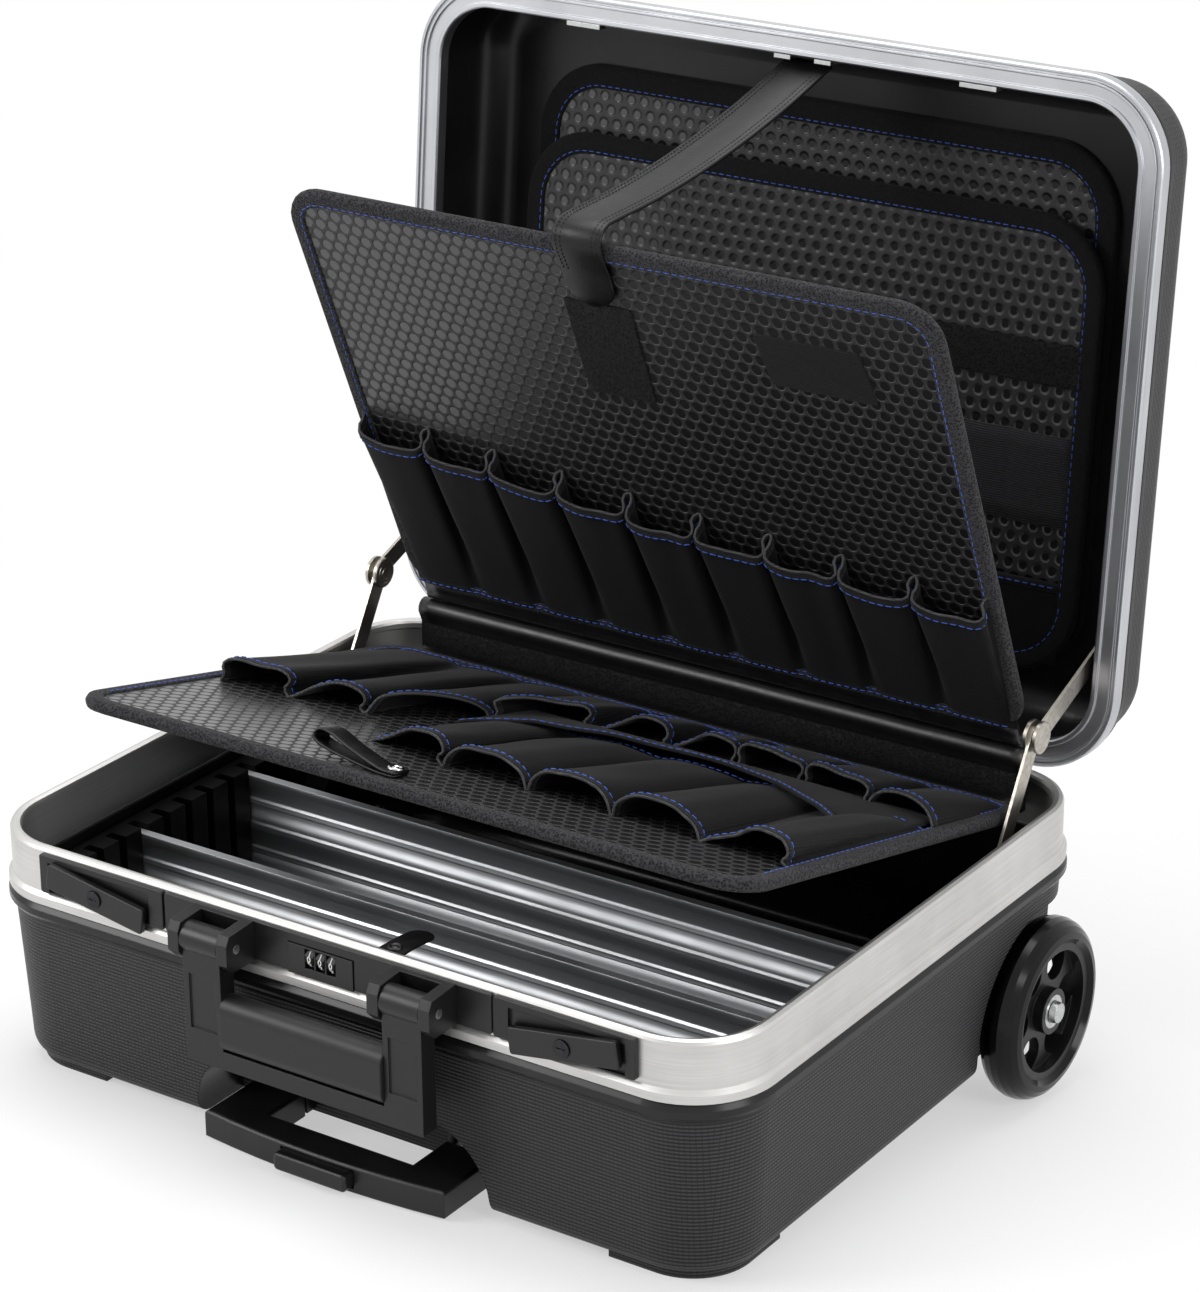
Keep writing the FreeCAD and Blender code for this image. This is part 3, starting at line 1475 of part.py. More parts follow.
def build():
    """Makes every piece and registers it under its own name."""
    keep("base_shell", base_shell())
    keep("base_frame", base_frame())
    keep("front_plate", front_plate())
    keep("handle_brackets", group("handle_brackets", mirrored_pair("bracket", handle_bracket)))
    keep("handle_pins", group("handle_pins", mirrored_pair("handle_pin", handle_pin)))
    keep("lock_body", lock_body())
    keep("latch_plates", group("latch_plates", mirrored_pair("latch_plate", latch_plate)))
    keep("divider_rails", group("divider_rails", mirrored_pair("rail", divider_rail)))
    keep("divider_front", divider("divider_front", divider_front_back))
    keep("divider_rear", divider("divider_rear", divider_rear_back))
    keep("closing_tab", closing_tab())
    keep("hinge_leaf_base", hinge_leaf_base())
    keep("hinge_pin", rod("hinge_pin", hinge_pin_radius, hinge_length, -hinge_length / 2, hinge_back, hinge_rise,
                          FACING_SIDE))
    keep("spine", spine())
    frame_inner = half_width - frame_wall
    keep("stay_rivets_base", group("stay_rivets_base", mirrored_pair(
        "stay_rivet_base", lambda name, side: stay_rivet(name, side, stay_base, 0, frame_inner))))
    keep("axle_bolts", group("axle_bolts", mirrored_pair("axle_bolt", axle_bolt)))
    keep("trolley_outer_tubes", tube_pair("outer_tubes", tube_width, tube_thickness, notch_back + shell_wall,
                                          tube_length))
    keep("trolley_guides", trolley_guides())
    keep("trolley_cover", trolley_cover())

    keep("lid_shell", lid_shell(), LID_OPEN)
    keep("lid_frame", lid_frame(), LID_OPEN)
    keep("hinge_leaf_lid", hinge_leaf_lid(), LID_OPEN)
    keep("latch_strikes", latch_strikes(), LID_OPEN)
    keep("strap_clips", strap_clips(), LID_OPEN)
    keep("organiser_back", organiser_layer("organiser_back", organiser_level, organiser_front_edge), LID_OPEN)
    keep("organiser_front", organiser_front(), LID_OPEN)
    keep("organiser_bands", organiser_bands(), LID_OPEN)
    lid_wall = half_width - wall_inset - shell_wall
    keep("stay_rivets_lid", group("stay_rivets_lid", mirrored_pair(
        "stay_rivet_lid", lambda name, side: stay_rivet(name, side, stay_lid, 1, lid_wall))))
    keep("strap", strap())
    keep("strap_tip", strap_tip())

    keep("upper_board", board("upper_board", upper_half, upper_length, board_corner), UPPER_PLACE)
    keep("upper_pockets", pocket_row("upper_pockets", UPPER_POCKET_COUNT, 6 - upper_half, upper_half - 6,
                                     upper_pocket_start, upper_pocket_height, 1), UPPER_PLACE)
    keep("board_patches", board_patches(), UPPER_PLACE)
    keep("lower_board", board("lower_board", lower_half, lower_length, board_corner), LOWER_PLACE)
    keep("lower_pockets_rear", pocket_row("lower_pockets_rear", REAR_POCKET_COUNT, 8 - lower_half, lower_half - 8,
                                          rear_pocket_start, rear_pocket_height, -1), LOWER_PLACE)
    keep("lower_pockets_front", pocket_row("lower_pockets_front", FRONT_POCKET_COUNT, front_pocket_left,
                                           front_pocket_right, front_pocket_start, front_pocket_height, -1), LOWER_PLACE)
    keep("pull_loop", pull_loop(), LOWER_PLACE)

    for name, side in (("left", -1), ("right", 1)):
        keep("stay_lower_" + name, stay_link("stay_lower_" + name, stay_base, stay_knee, side, 0))
        keep("stay_upper_" + name, stay_link("stay_upper_" + name, stay_lid, stay_knee, side, 1))
        keep("latch_lever_" + name, latch_lever("lever_" + name, side))
        keep("key_cylinder_" + name, key_cylinder("key_" + name, side))
        keep("tyre_" + name, tyre("tyre_" + name, side))
        keep("hub_" + name, hub("hub_" + name, side))
        keep("bearings_" + name, bearings("bearings_" + name, side))
    keep("handle_frame", handle_frame())
    keep("handle_grip", handle_grip())
    for name, number in (("left", -1), ("middle", 0), ("right", 1)):
        keep("dial_" + name, dial("dial_" + name, number))
    middle_start = notch_back - guide_length + 2
    keep("trolley_middle_tubes", tube_pair("middle_tubes", middle_width, middle_thickness, middle_start, tube_length))
    keep("trolley_inner_tubes", tube_pair("inner_tubes", inner_width, inner_thickness, arm_end, tube_length + 4))
    keep("trolley_bow", trolley_bow())
    keep("trolley_button", trolley_button())


def stance():
    """How the case stands: turned about X until the front feet and the wheels touch the floor."""
    foot_back = front_face.value + floor_inset.value + floor_radius.value / 2
    reach = math.hypot(wheel_back.value - foot_back, wheel_rise.value)
    lean = math.atan2(wheel_rise.value, wheel_back.value - foot_back)
    tilt = math.asin(wheel_radius.value / reach) - lean
    turn = Rotation(ALONG_X, math.degrees(tilt))
    foot_point = turn.multVec(Vector(0, foot_back, 0))
    return Placement(Vector(0, 0, -foot_point.z), turn)


def settle(pieces):
    """Swings each group to its place, stands the case on the floor and centres its box over the origin."""
    doc.recompute()
    standing = stance()
    box = FreeCAD.BoundBox()
    for item, group_placement in pieces.values():
        item.Placement = standing.multiply(group_placement).multiply(item.Placement)
        box.add(item.Shape.optimalBoundingBox(False))
    shift = Vector(0, -(box.YMin + box.YMax) / 2, -box.ZMin)
    for item, _ in pieces.values():
        item.Placement = Placement(shift, NO_TURN).multiply(item.Placement)
    doc.recompute()
    return Placement(shift, NO_TURN).multiply(standing)


def check(pieces):
    """Stops if any object failed or any piece isn't a sound solid."""
    for item in doc.Objects:
        if {"Invalid", "Error"} & set(item.State):
            raise RuntimeError("failed object: " + item.Name)
    for label, (item, _) in pieces.items():
        shape = item.Shape
        if shape.isNull() or not shape.isValid() or not shape.Solids:
            raise RuntimeError("unsound piece: " + label)


build()
case_place = settle(nodes)
check(nodes)
os.makedirs("parts", exist_ok=True)
for label, (item, _) in nodes.items():
    item.Shape.exportStep("parts/%s.step" % label)
print("pieces", len(nodes))
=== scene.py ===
"""Looks of a black wheeled tool case, shown open with its tool boards folded out."""

import json
import logging
import math
from dataclasses import dataclass
from enum import Enum
from typing import Any, Iterable, Optional, Sequence

import bpy
import numpy as np
from mathutils import Matrix, Vector, noise

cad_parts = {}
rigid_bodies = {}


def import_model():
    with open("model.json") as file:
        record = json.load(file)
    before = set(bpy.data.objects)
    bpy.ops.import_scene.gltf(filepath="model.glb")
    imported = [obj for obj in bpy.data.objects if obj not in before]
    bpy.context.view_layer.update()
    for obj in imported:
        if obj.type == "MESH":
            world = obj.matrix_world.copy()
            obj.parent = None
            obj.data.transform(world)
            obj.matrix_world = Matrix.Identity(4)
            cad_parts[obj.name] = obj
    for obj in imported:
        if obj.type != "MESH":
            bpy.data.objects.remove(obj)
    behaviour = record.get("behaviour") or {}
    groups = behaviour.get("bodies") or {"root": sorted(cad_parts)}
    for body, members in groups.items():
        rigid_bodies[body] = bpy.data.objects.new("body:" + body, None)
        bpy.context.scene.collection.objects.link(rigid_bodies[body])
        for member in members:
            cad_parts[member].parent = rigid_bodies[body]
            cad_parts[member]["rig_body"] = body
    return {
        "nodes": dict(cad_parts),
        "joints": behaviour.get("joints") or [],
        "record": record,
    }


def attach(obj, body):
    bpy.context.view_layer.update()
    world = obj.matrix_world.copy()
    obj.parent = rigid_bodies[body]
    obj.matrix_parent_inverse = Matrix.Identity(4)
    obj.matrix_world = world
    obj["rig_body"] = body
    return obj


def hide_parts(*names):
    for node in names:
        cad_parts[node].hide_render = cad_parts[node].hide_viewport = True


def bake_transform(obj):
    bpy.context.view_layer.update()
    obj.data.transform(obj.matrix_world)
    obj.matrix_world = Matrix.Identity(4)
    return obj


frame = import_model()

log = logging.getLogger("tool_case")
# One millimetre in metres: sizes are given in millimetres, and the scene is in metres.
MM = 0.001
# Short names for the types that recur.
Array = np.ndarray
Tree = bpy.types.NodeTree
Node = bpy.types.Node
Socket = bpy.types.NodeSocket
Piece = bpy.types.Object
Pairs = Sequence[tuple[float, float]]


class Space(Enum):
    """The frame in which a pattern runs straight."""

    OWN = "own"
    CASE = "case"
    LID = "lid"


class Facing(Enum):
    """The side of a board that carries a piece."""

    FRONT = 1
    TOP = -1


@dataclass(frozen=True)
class CasePlaces:
    """Where the hinged groups of the case lie, in millimetres and degrees of the closed, level case."""

    hinge_back: float = 224.0
    hinge_rise: float = 156.0
    lid_angle: float = 95.56
    upper_back: float = 200.0
    upper_rise: float = 187.0
    upper_angle: float = 67.2
    lower_back: float = 190.0
    lower_rise: float = 145.0
    lower_angle: float = 13.7
    underside: float = 3.3

    def stance(self) -> Matrix:
        """Gives the tilt and shift with which the case stands on its feet and wheels.

        Returns:
            The matrix from the level case to the row frame, in metres.
        """
        slide = next(j for j in frame["joints"] if j["name"] == "trolley_middle_slide")
        tilt = math.atan2(-slide["axis"][2], -slide["axis"][1])
        mount = Vector(frame["record"]["mounts"][0]["pos_m"])
        turn = Matrix.Rotation(tilt, 4, "X")
        return Matrix.Translation(mount - turn @ Vector((0, 0, self.underside * MM))) @ turn

    def lid(self) -> Matrix:
        """Gives the place of the open lid.

        Returns:
            The matrix from the lid drawn closed.
        """
        axis = Vector((0, self.hinge_back, self.hinge_rise)) * MM
        turn = Matrix.Rotation(-math.radians(self.lid_angle), 4, "X")
        return self.stance() @ Matrix.Translation(axis) @ turn @ Matrix.Translation(-axis)

    def board(self, back: float, rise: float, angle: float) -> Matrix:
        """Gives the place of a folded-out board.

        Args:
            back: distance of the pivot behind the middle of the case.
            rise: height of the pivot.
            angle: slope of the board above the level.

        Returns:
            The matrix whose local y runs up the board from its pivot.
        """
        turn = Matrix.Rotation(math.radians(180 - angle), 4, "X")
        return self.stance() @ Matrix.Translation(Vector((0, back, rise)) * MM) @ turn

    def upper(self) -> Matrix:
        """Gives the place of the upper board."""
        return self.board(self.upper_back, self.upper_rise, self.upper_angle)

    def lower(self) -> Matrix:
        """Gives the place of the lower board."""
        return self.board(self.lower_back, self.lower_rise, self.lower_angle)

    def of_space(self, space: Space) -> Matrix:
        """Gives the matrix of a pattern's frame."""
        return {Space.CASE: self.stance, Space.LID: self.lid, Space.OWN: Matrix}[space]()


PLACES = CasePlaces()


def linear(color: str) -> tuple[float, float, float, float]:
    """Turns an sRGB hex colour to linear.

    Args:
        color: six hex digits.

    Returns:
        Linear red, green, blue and an alpha of 1.
    """
    shares = [int(color[i:i + 2], 16) / 255 for i in (0, 2, 4)]
    parts = [s / 12.92 if s <= 0.04045 else ((s + 0.055) / 1.055) ** 2.4 for s in shares]
    return (parts[0], parts[1], parts[2], 1.0)


def add_node(tree: Tree, kind: str, inputs: Optional[dict[Any, Any]] = None, **settings: Any) -> Node:
    """Adds a node with its settings and links.

    Args:
        tree: the node tree that it joins.
        kind: the node's type without its ShaderNode prefix.
        inputs: values or output sockets by input name or number.
        settings: the node's own properties.

    Returns:
        The new node.
    """
    node = tree.nodes.new("ShaderNode" + kind)
    for key, value in settings.items():
        setattr(node, key, value)
    for key, value in (inputs or {}).items():
        if isinstance(value, bpy.types.NodeSocket):
            tree.links.new(value, node.inputs[key])
        else:
            node.inputs[key].default_value = value
    return node


def reckon(tree: Tree, operation: str, *values: Any, **settings: Any) -> Socket:
    """Adds a reckoning with numbers, and gives the socket of its result."""
    return add_node(tree, "Math", dict(enumerate(values)), operation=operation, **settings).outputs[0]


def reckon_vector(tree: Tree, operation: str, *values: Any) -> Socket:
    """Adds a reckoning with vectors, and gives the socket of its result, a vector or a number."""
    outputs = add_node(tree, "VectorMath", dict(enumerate(values)), operation=operation).outputs
    return outputs["Value" if operation in ("LENGTH", "DOT_PRODUCT") else "Vector"]


def choose(tree: Tree, share: Socket, low: Any, high: Any) -> Socket:
    """Adds a mix of two numbers by a share from 0 to 1, and gives the socket of its result."""
    return add_node(tree, "Mix", {0: share, 2: low, 3: high}).outputs[0]


def cloudy(tree: Tree, spot: Socket, scale: float, detail: float) -> Socket:
    """Adds cloudy noise with a scale per millimetre, and gives its socket."""
    return add_node(tree, "TexNoise", {"Vector": spot, "Scale": scale, "Detail": detail}).outputs[0]


def wavy(tree: Tree, run: Socket, pitch: float) -> Socket:
    """Adds a sine wave along a run of millimetres, and gives its socket."""
    return reckon(tree, "SINE", reckon(tree, "MULTIPLY", run, 2 * math.pi / pitch))


def stretch(tree: Tree, value: Socket, low: float, high: float, least: float = 0.0,
            **settings: Any) -> Socket:
    """Stretches a value between two limits to run from the least to 1, and gives its socket."""
    inputs = {"Value": value, "From Min": low, "From Max": high, "To Min": least}
    return add_node(tree, "MapRange", inputs, **settings).outputs[0]


@dataclass(frozen=True)
class Finish:
    """A real material and how its surface was made.

    Sizes are in millimetres and colours are sRGB hex. The gloss is the strength of its mirror light, the edge
    is the radius that its hard edges show, and the space is the frame in which its pattern runs straight.
    """

    name: str
    color: str
    roughness: float
    metallic: float = 0.0
    ior: float = 1.5
    sheen: float = 0.0
    sheen_roughness: float = 0.4
    coat: float = 0.0
    coat_roughness: float = 0.12
    gloss: float = 0.5
    edge: float = 0.0
    space: Space = Space.OWN

    def make(self) -> bpy.types.Material:
        """Makes the material once.

        Returns:
            The material of this finish.
        """
        found = bpy.data.materials.get(self.name)
        if found:
            return found
        material = bpy.data.materials.new(self.name)
        material.use_nodes = True
        tree = material.node_tree
        tree.nodes.clear()
        shader = add_node(tree, "BsdfPrincipled", {
            "Base Color": linear(self.color), "Roughness": self.roughness, "Metallic": self.metallic,
            "Sheen Weight": self.sheen, "Sheen Roughness": self.sheen_roughness,
            "Coat Weight": self.coat, "Coat Roughness": self.coat_roughness,
            "Specular IOR Level": self.gloss})
        if not self.metallic:
            shader.inputs["IOR"].default_value = self.ior
        add_node(tree, "OutputMaterial", {"Surface": shader.outputs[0]})
        self.dress(tree, shader)
        return material

    def dress(self, tree: Tree, shader: Node) -> None:
        """Adds the pattern of the surface; each kind of surface has its own."""

    def points(self, tree: Tree) -> Socket:
        """Gives positions in millimetres, turned so that the pattern runs straight.

        Args:
            tree: the material's node tree.

        Returns:
            The socket with the position.
        """
        spot = add_node(tree, "TexCoord").outputs["Object"]
        if self.space is not Space.OWN:
            place = PLACES.of_space(self.space)
            spot = add_node(tree, "Mapping", {"Vector": spot, "Location": place.translation,
                                              "Rotation": place.to_euler()}, vector_type="TEXTURE").outputs[0]
        return reckon_vector(tree, "MULTIPLY", spot, (1 / MM, 1 / MM, 1 / MM))

    def relief(self, tree: Tree, shader: Node, height: Socket, depth: float) -> None:
        """Raises the surface, with its edges rounded where the piece has hard ones.

        Args:
            tree: the material's node tree.
            shader: the shader whose normal is set.
            height: the socket that runs from 0 to 1.
            depth: what 1 stands for, in millimetres.
        """
        bump = add_node(tree, "Bump", {"Height": height, "Distance": depth * MM, "Strength": 1.0})
        if self.edge:
            rounded = add_node(tree, "Bevel", {"Radius": self.edge * MM}, samples=4)
            tree.links.new(rounded.outputs[0], bump.inputs["Normal"])
        tree.links.new(bump.outputs[0], shader.inputs["Normal"])

    def spread(self, tree: Tree, shader: Node, share: Socket, socket: str, low: Any, high: Any) -> None:
        """Lets a value of the shader run between two limits.

        Args:
            tree: the material's node tree.
            shader: the shader.
            share: the socket that runs from 0 to 1.
            socket: the shader's input.
            low: the value at 0, a number or a hex colour.
            high: the value at 1.
        """
        if isinstance(low, str):
            tones = {0: share, 6: linear(low), 7: linear(high)}
            made = add_node(tree, "Mix", tones, data_type="RGBA").outputs[2]
        else:
            made = add_node(tree, "MapRange", {"Value": share, "To Min": low, "To Max": high}).outputs[0]
        tree.links.new(made, shader.inputs[socket])

    def vary(self, tree: Tree, shader: Node, share: Socket, low: float, high: float) -> None:
        """Lets the roughness stray from its own value, by a low step at 0 to a high one at 1."""
        self.spread(tree, shader, share, "Roughness", self.roughness + low, self.roughness + high)


@dataclass(frozen=True)
class MouldedWeave(Finish):
    """ABS moulded in an etched tool: small raised bars outside, plain satin on the bead and inside.

    Rows and bars repeat by their pitch, and the gap is the height that stays between two bars. The outside
    faces away from the middle, and the bead lies between the two plain heights.
    """

    row: float = 2.5
    bar: float = 2.8
    gap: float = 0.55
    depth: float = 0.5
    # The dark colour of the grooves between the bars is painted shade; on the plain faces it is only the low
    # end of their cloudy tone.
    groove: str = "070708"
    middle: float = 60.0
    plain_from: float = 107.0
    plain_to: float = 400.0
    smoother: float = 0.2
    faint: float = 0.4
    square_on: float = 0.71

    def dress(self, tree: Tree, shader: Node) -> None:
        """Draws the rows of bars on the outer faces, a little coarser than real so that they show.

        Args:
            tree: the material's node tree.
            shader: the shader that takes the pattern.
        """
        spot = self.points(tree)
        turn = PLACES.of_space(self.space).to_euler()
        facing = add_node(tree, "Mapping", {"Vector": add_node(tree, "TexCoord").outputs["Normal"],
                                            "Rotation": turn}, vector_type="TEXTURE").outputs[0]
        where = add_node(tree, "SeparateXYZ", {0: spot}).outputs
        side = add_node(tree, "SeparateXYZ", {0: reckon_vector(tree, "ABSOLUTE", facing)}).outputs
        # Bars run along a face and rows up it, so both follow the way the face looks.
        along = choose(tree, reckon(tree, "GREATER_THAN", side[0], self.square_on), where[0], where[1])
        upward = choose(tree, reckon(tree, "GREATER_THAN", side[2], self.square_on), where[2], where[1])
        bars = stretch(tree, wavy(tree, along, self.bar), low=-0.95, high=-0.2, least=self.gap)
        rows = stretch(tree, wavy(tree, upward, self.row), low=-0.5, high=0.6)
        weave = reckon(tree, "MULTIPLY", bars, rows)
        # The inside looks towards the middle and stays plain, and so does the bead.
        outward = reckon_vector(tree, "ADD", spot, (0, 0, -self.middle))
        outside = reckon(tree, "GREATER_THAN", reckon_vector(tree, "DOT_PRODUCT", facing, outward), 0.0)
        above = reckon(tree, "GREATER_THAN", where[2], self.plain_from)
        below = reckon(tree, "LESS_THAN", where[2], self.plain_to)
        plain = reckon(tree, "MULTIPLY", above, below)
        woven = reckon(tree, "SUBTRACT", outside, plain, use_clamp=True)
        self.relief(tree, shader, reckon(tree, "MULTIPLY", weave, woven), self.depth)
        self.vary(tree, shader, woven, -self.smoother, 0.0)
        cloud = reckon(tree, "MULTIPLY", cloudy(tree, spot, scale=0.02, detail=3.0), self.faint)
        # On the outer faces the dark end fills the grooves between the bars as painted shade.
        self.spread(tree, shader, choose(tree, woven, cloud, weave), "Base Color", self.groove, self.color)


@dataclass(frozen=True)
class SparkGrain(Finish):
    """Plastic moulded in a spark-eroded tool: a fine even grain that breaks the gloss."""

    grain: float = 0.9
    depth: float = 0.03
    worn: str = "2a2a2c"
    uneven: float = 0.08

    def dress(self, tree: Tree, shader: Node) -> None:
        """Draws the grain, a little coarser than the real 0.3 mm so that it shows.

        Args:
            tree: the material's node tree.
            shader: the shader that takes the pattern.
        """
        spot = self.points(tree)
        self.relief(tree, shader, cloudy(tree, spot, 1 / self.grain, detail=2.0), self.depth)
        cloud = cloudy(tree, spot, scale=0.035, detail=4.0)
        self.spread(tree, shader, cloud, "Base Color", self.color, self.worn)
        self.vary(tree, shader, cloud, -self.uneven, self.uneven)


@dataclass(frozen=True)
class ExtrudedMetal(Finish):
    """Aluminium pushed through a die: fine draw lines along the length, soft clouds of wiping."""

    line: float = 0.8
    depth: float = 0.012
    shade: str = "b9bbbe"
    drawn_out: tuple[float, float, float] = (0.012, 0.012, 1.0)
    uneven: float = 0.08

    def dress(self, tree: Tree, shader: Node) -> None:
        """Draws the die lines, coarser than the real 0.1 mm so that they show.

        Args:
            tree: the material's node tree.
            shader: the shader that takes the pattern.
        """
        spot = self.points(tree)
        run = reckon_vector(tree, "MULTIPLY", spot, self.drawn_out)
        lines = cloudy(tree, run, 1 / self.line, detail=4.0)
        cloud = cloudy(tree, spot, scale=0.02, detail=3.0)
        share = stretch(tree, reckon(tree, "ADD", lines, cloud), low=0.6, high=1.4)
        self.relief(tree, shader, lines, self.depth)
        self.spread(tree, shader, share, "Base Color", self.shade, self.color)
        self.vary(tree, shader, share, self.uneven, -self.uneven)


@dataclass(frozen=True)
class RibbedMetal(ExtrudedMetal):
    """Extruded aluminium with broad shallow ribs along its length: each rib mirrors a strip of the room."""

    rib: float = 34.0
    rise: float = 2.4
    fine_rib: float = 0.29
    fine_rise: float = 0.1

    def dress(self, tree: Tree, shader: Node) -> None:
        """Draws the ribs under the die lines.

        Args:
            tree: the material's node tree.
            shader: the shader that takes the pattern.
        """
        super().dress(tree, shader)
        level = add_node(tree, "SeparateXYZ", {0: self.points(tree)}).outputs[2]
        fine = wavy(tree, level, self.rib * self.fine_rib)
        height = reckon(tree, "MULTIPLY_ADD", fine, self.fine_rise, wavy(tree, level, self.rib))
        lines = shader.inputs["Normal"].links[0].from_socket
        ribs = add_node(tree, "Bump", {"Height": height, "Distance": self.rise * MM, "Normal": lines})
        tree.links.new(ribs.outputs[0], shader.inputs["Normal"])


@dataclass(frozen=True)
class PlatedSteel(Finish):
    """Pressed or turned steel with a plated skin: bright, with small patches of tone."""

    patch: float = 3.0
    depth: float = 0.004
    shade: str = "a9a9a4"
    smoother: float = 0.06
    rougher: float = 0.1

    def dress(self, tree: Tree, shader: Node) -> None:
        """Draws the patches of the plating.

        Args:
            tree: the material's node tree.
            shader: the shader that takes the pattern.
        """
        spot = self.points(tree)
        cells = add_node(tree, "TexVoronoi", {"Vector": spot, "Scale": 1 / self.patch}).outputs["Color"]
        tone = add_node(tree, "SeparateXYZ", {0: cells}).outputs[0]
        fine = cloudy(tree, spot, scale=0.8, detail=3.0)
        share = reckon(tree, "MULTIPLY", tone, fine)
        self.relief(tree, shader, fine, self.depth)
        self.spread(tree, shader, share, "Base Color", self.color, self.shade)
        self.vary(tree, shader, share, -self.smoother, self.rougher)


@dataclass(frozen=True)
class DimpledSheet(Finish):
    """Polyethylene sheet pressed with round dimples: glossy flat bottoms, matt ridges between them, the
    dimples coloured darker as painted shade and the ridges paler as painted light.
    """

    pitch: float = 9.6
    bottom: float = 3.3
    rim: float = 4.3
    depth: float = 0.7
    grain: float = 0.03
    # Colour of the ridges, paler than the dimple bottoms: painted light on the ridges and painted shade in
    # the dimples.
    ridge: str = "1a1a1b"
    ridge_roughness: float = 0.6

    def dress(self, tree: Tree, shader: Node) -> None:
        """Draws the dimples on a triangular grid, as two rectangular grids that interleave.

        Args:
            tree: the material's node tree.
            shader: the shader that takes the pattern.
        """
        spot = self.points(tree)
        cell = (self.pitch, self.pitch * math.sqrt(3), 0)
        grid = reckon_vector(tree, "MULTIPLY", spot, (1 / cell[0], 1 / cell[1], 0))
        reach = []
        for shift in (0.0, 0.5):
            inner = reckon_vector(tree, "FRACTION", reckon_vector(tree, "ADD", grid, (shift, shift, 0)))
            centred = reckon_vector(tree, "SUBTRACT", inner, (0.5, 0.5, 0))
            reach.append(reckon_vector(tree, "LENGTH", reckon_vector(tree, "MULTIPLY", centred, cell)))
        near = reckon(tree, "MINIMUM", *reach)
        wall = stretch(tree, near, self.bottom, self.rim, interpolation_type="SMOOTHSTEP")
        fine = reckon(tree, "MULTIPLY", cloudy(tree, spot, scale=1.2, detail=2.0), self.grain)
        self.relief(tree, shader, reckon(tree, "ADD", wall, fine), self.depth)
        # Dark in the dimples and paler on the ridges: painted shade and painted light.
        self.spread(tree, shader, wall, "Base Color", self.color, self.ridge)
        self.spread(tree, shader, wall, "Roughness", self.roughness, self.ridge_roughness)
        self.spread(tree, shader, wall, "Coat Weight", self.coat, 0.0)


# What turns a pitch in millimetres into the scale of a wave texture.
WAVE_SCALE = 3.2


@dataclass(frozen=True)
class WovenCloth(Finish):
    """Plain-woven polyester: warp over weft, dull, with a faint sheen at the edges of folds."""

    thread: float = 1.1
    depth: float = 0.12
    pale: str = "1d1d20"

    def dress(self, tree: Tree, shader: Node) -> None:
        """Draws warp and weft, twice as coarse as the real 0.5 mm so that they show.

        Args:
            tree: the material's node tree.
            shader: the shader that takes the pattern.
        """
        spot = self.points(tree)
        threads = {"Vector": spot, "Scale": 1 / (self.thread * WAVE_SCALE), "Distortion": 0.6, "Detail": 1.0}
        waves = [add_node(tree, "TexWave", threads, bands_direction=axis).outputs["Fac"]
                 for axis in ("X", "Y")]
        weave = reckon(tree, "MULTIPLY", *waves)
        cloud = cloudy(tree, spot, scale=0.09, detail=4.0)
        self.relief(tree, shader, weave, self.depth)
        self.spread(tree, shader, reckon(tree, "MULTIPLY", weave, cloud), "Base Color", self.color, self.pale)


@dataclass(frozen=True)
class FuzzyTape(Finish):
    """Felted or looped tape: short fibres that stand up, with painted highlight on their tips and painted
    shade between them.
    """

    tuft: float = 0.9
    depth: float = 0.5
    # Colour of the raised tips: painted highlight.
    pale: str = "38383b"

    def dress(self, tree: Tree, shader: Node) -> None:
        """Draws the tufts.

        Args:
            tree: the material's node tree.
            shader: the shader that takes the pattern.
        """
        spot = self.points(tree)
        tufts = add_node(tree, "TexVoronoi", {"Vector": spot, "Scale": 1 / self.tuft}).outputs["Distance"]
        fibre = cloudy(tree, spot, scale=2.2, detail=5.0)
        share = stretch(tree, reckon(tree, "MULTIPLY", tufts, fibre), low=0.08, high=0.36)
        self.relief(tree, shader, share, self.depth)
        # Pale on the raised tips and dark between them: painted highlight and painted shade.
        self.spread(tree, shader, share, "Base Color", self.color, self.pale)


@dataclass(frozen=True)
class GrainedLeather(Finish):
    """Leather or leatherette rolled with a pebble grain: soft highlights, fine creases."""

    pebble: float = 1.3
    depth: float = 0.09
    pale: str = "29292b"
    uneven: float = 0.1

    def dress(self, tree: Tree, shader: Node) -> None:
        """Draws the pebbles.

        Args:
            tree: the material's node tree.
            shader: the shader that takes the pattern.
        """
        spot = self.points(tree)
        cells = add_node(tree, "TexVoronoi", {"Vector": spot, "Scale": 1 / self.pebble},
                         feature="SMOOTH_F1").outputs["Distance"]
        crease = cloudy(tree, spot, scale=0.12, detail=5.0)
        self.relief(tree, shader, reckon(tree, "ADD", cells, crease), self.depth)
        self.spread(tree, shader, crease, "Base Color", self.color, self.pale)
        self.vary(tree, shader, crease, -self.uneven, self.uneven)


@dataclass(frozen=True)
class RibbedElastic(Finish):
    """Knitted elastic: close ribs across the band."""

    rib: float = 1.6
    depth: float = 0.25
    pale: str = "222225"

    def dress(self, tree: Tree, shader: Node) -> None:
        """Draws the ribs.

        Args:
            tree: the material's node tree.
            shader: the shader that takes the pattern.
        """
        spot = self.points(tree)
        bands = {"Vector": spot, "Scale": 1 / (self.rib * WAVE_SCALE), "Distortion": 0.4}
        ribs = add_node(tree, "TexWave", bands, bands_direction="Y").outputs["Fac"]
        height = reckon(tree, "MULTIPLY", ribs, cloudy(tree, spot, scale=0.8, detail=3.0))
        self.relief(tree, shader, height, self.depth)
        self.spread(tree, shader, height, "Base Color", self.color, self.pale)


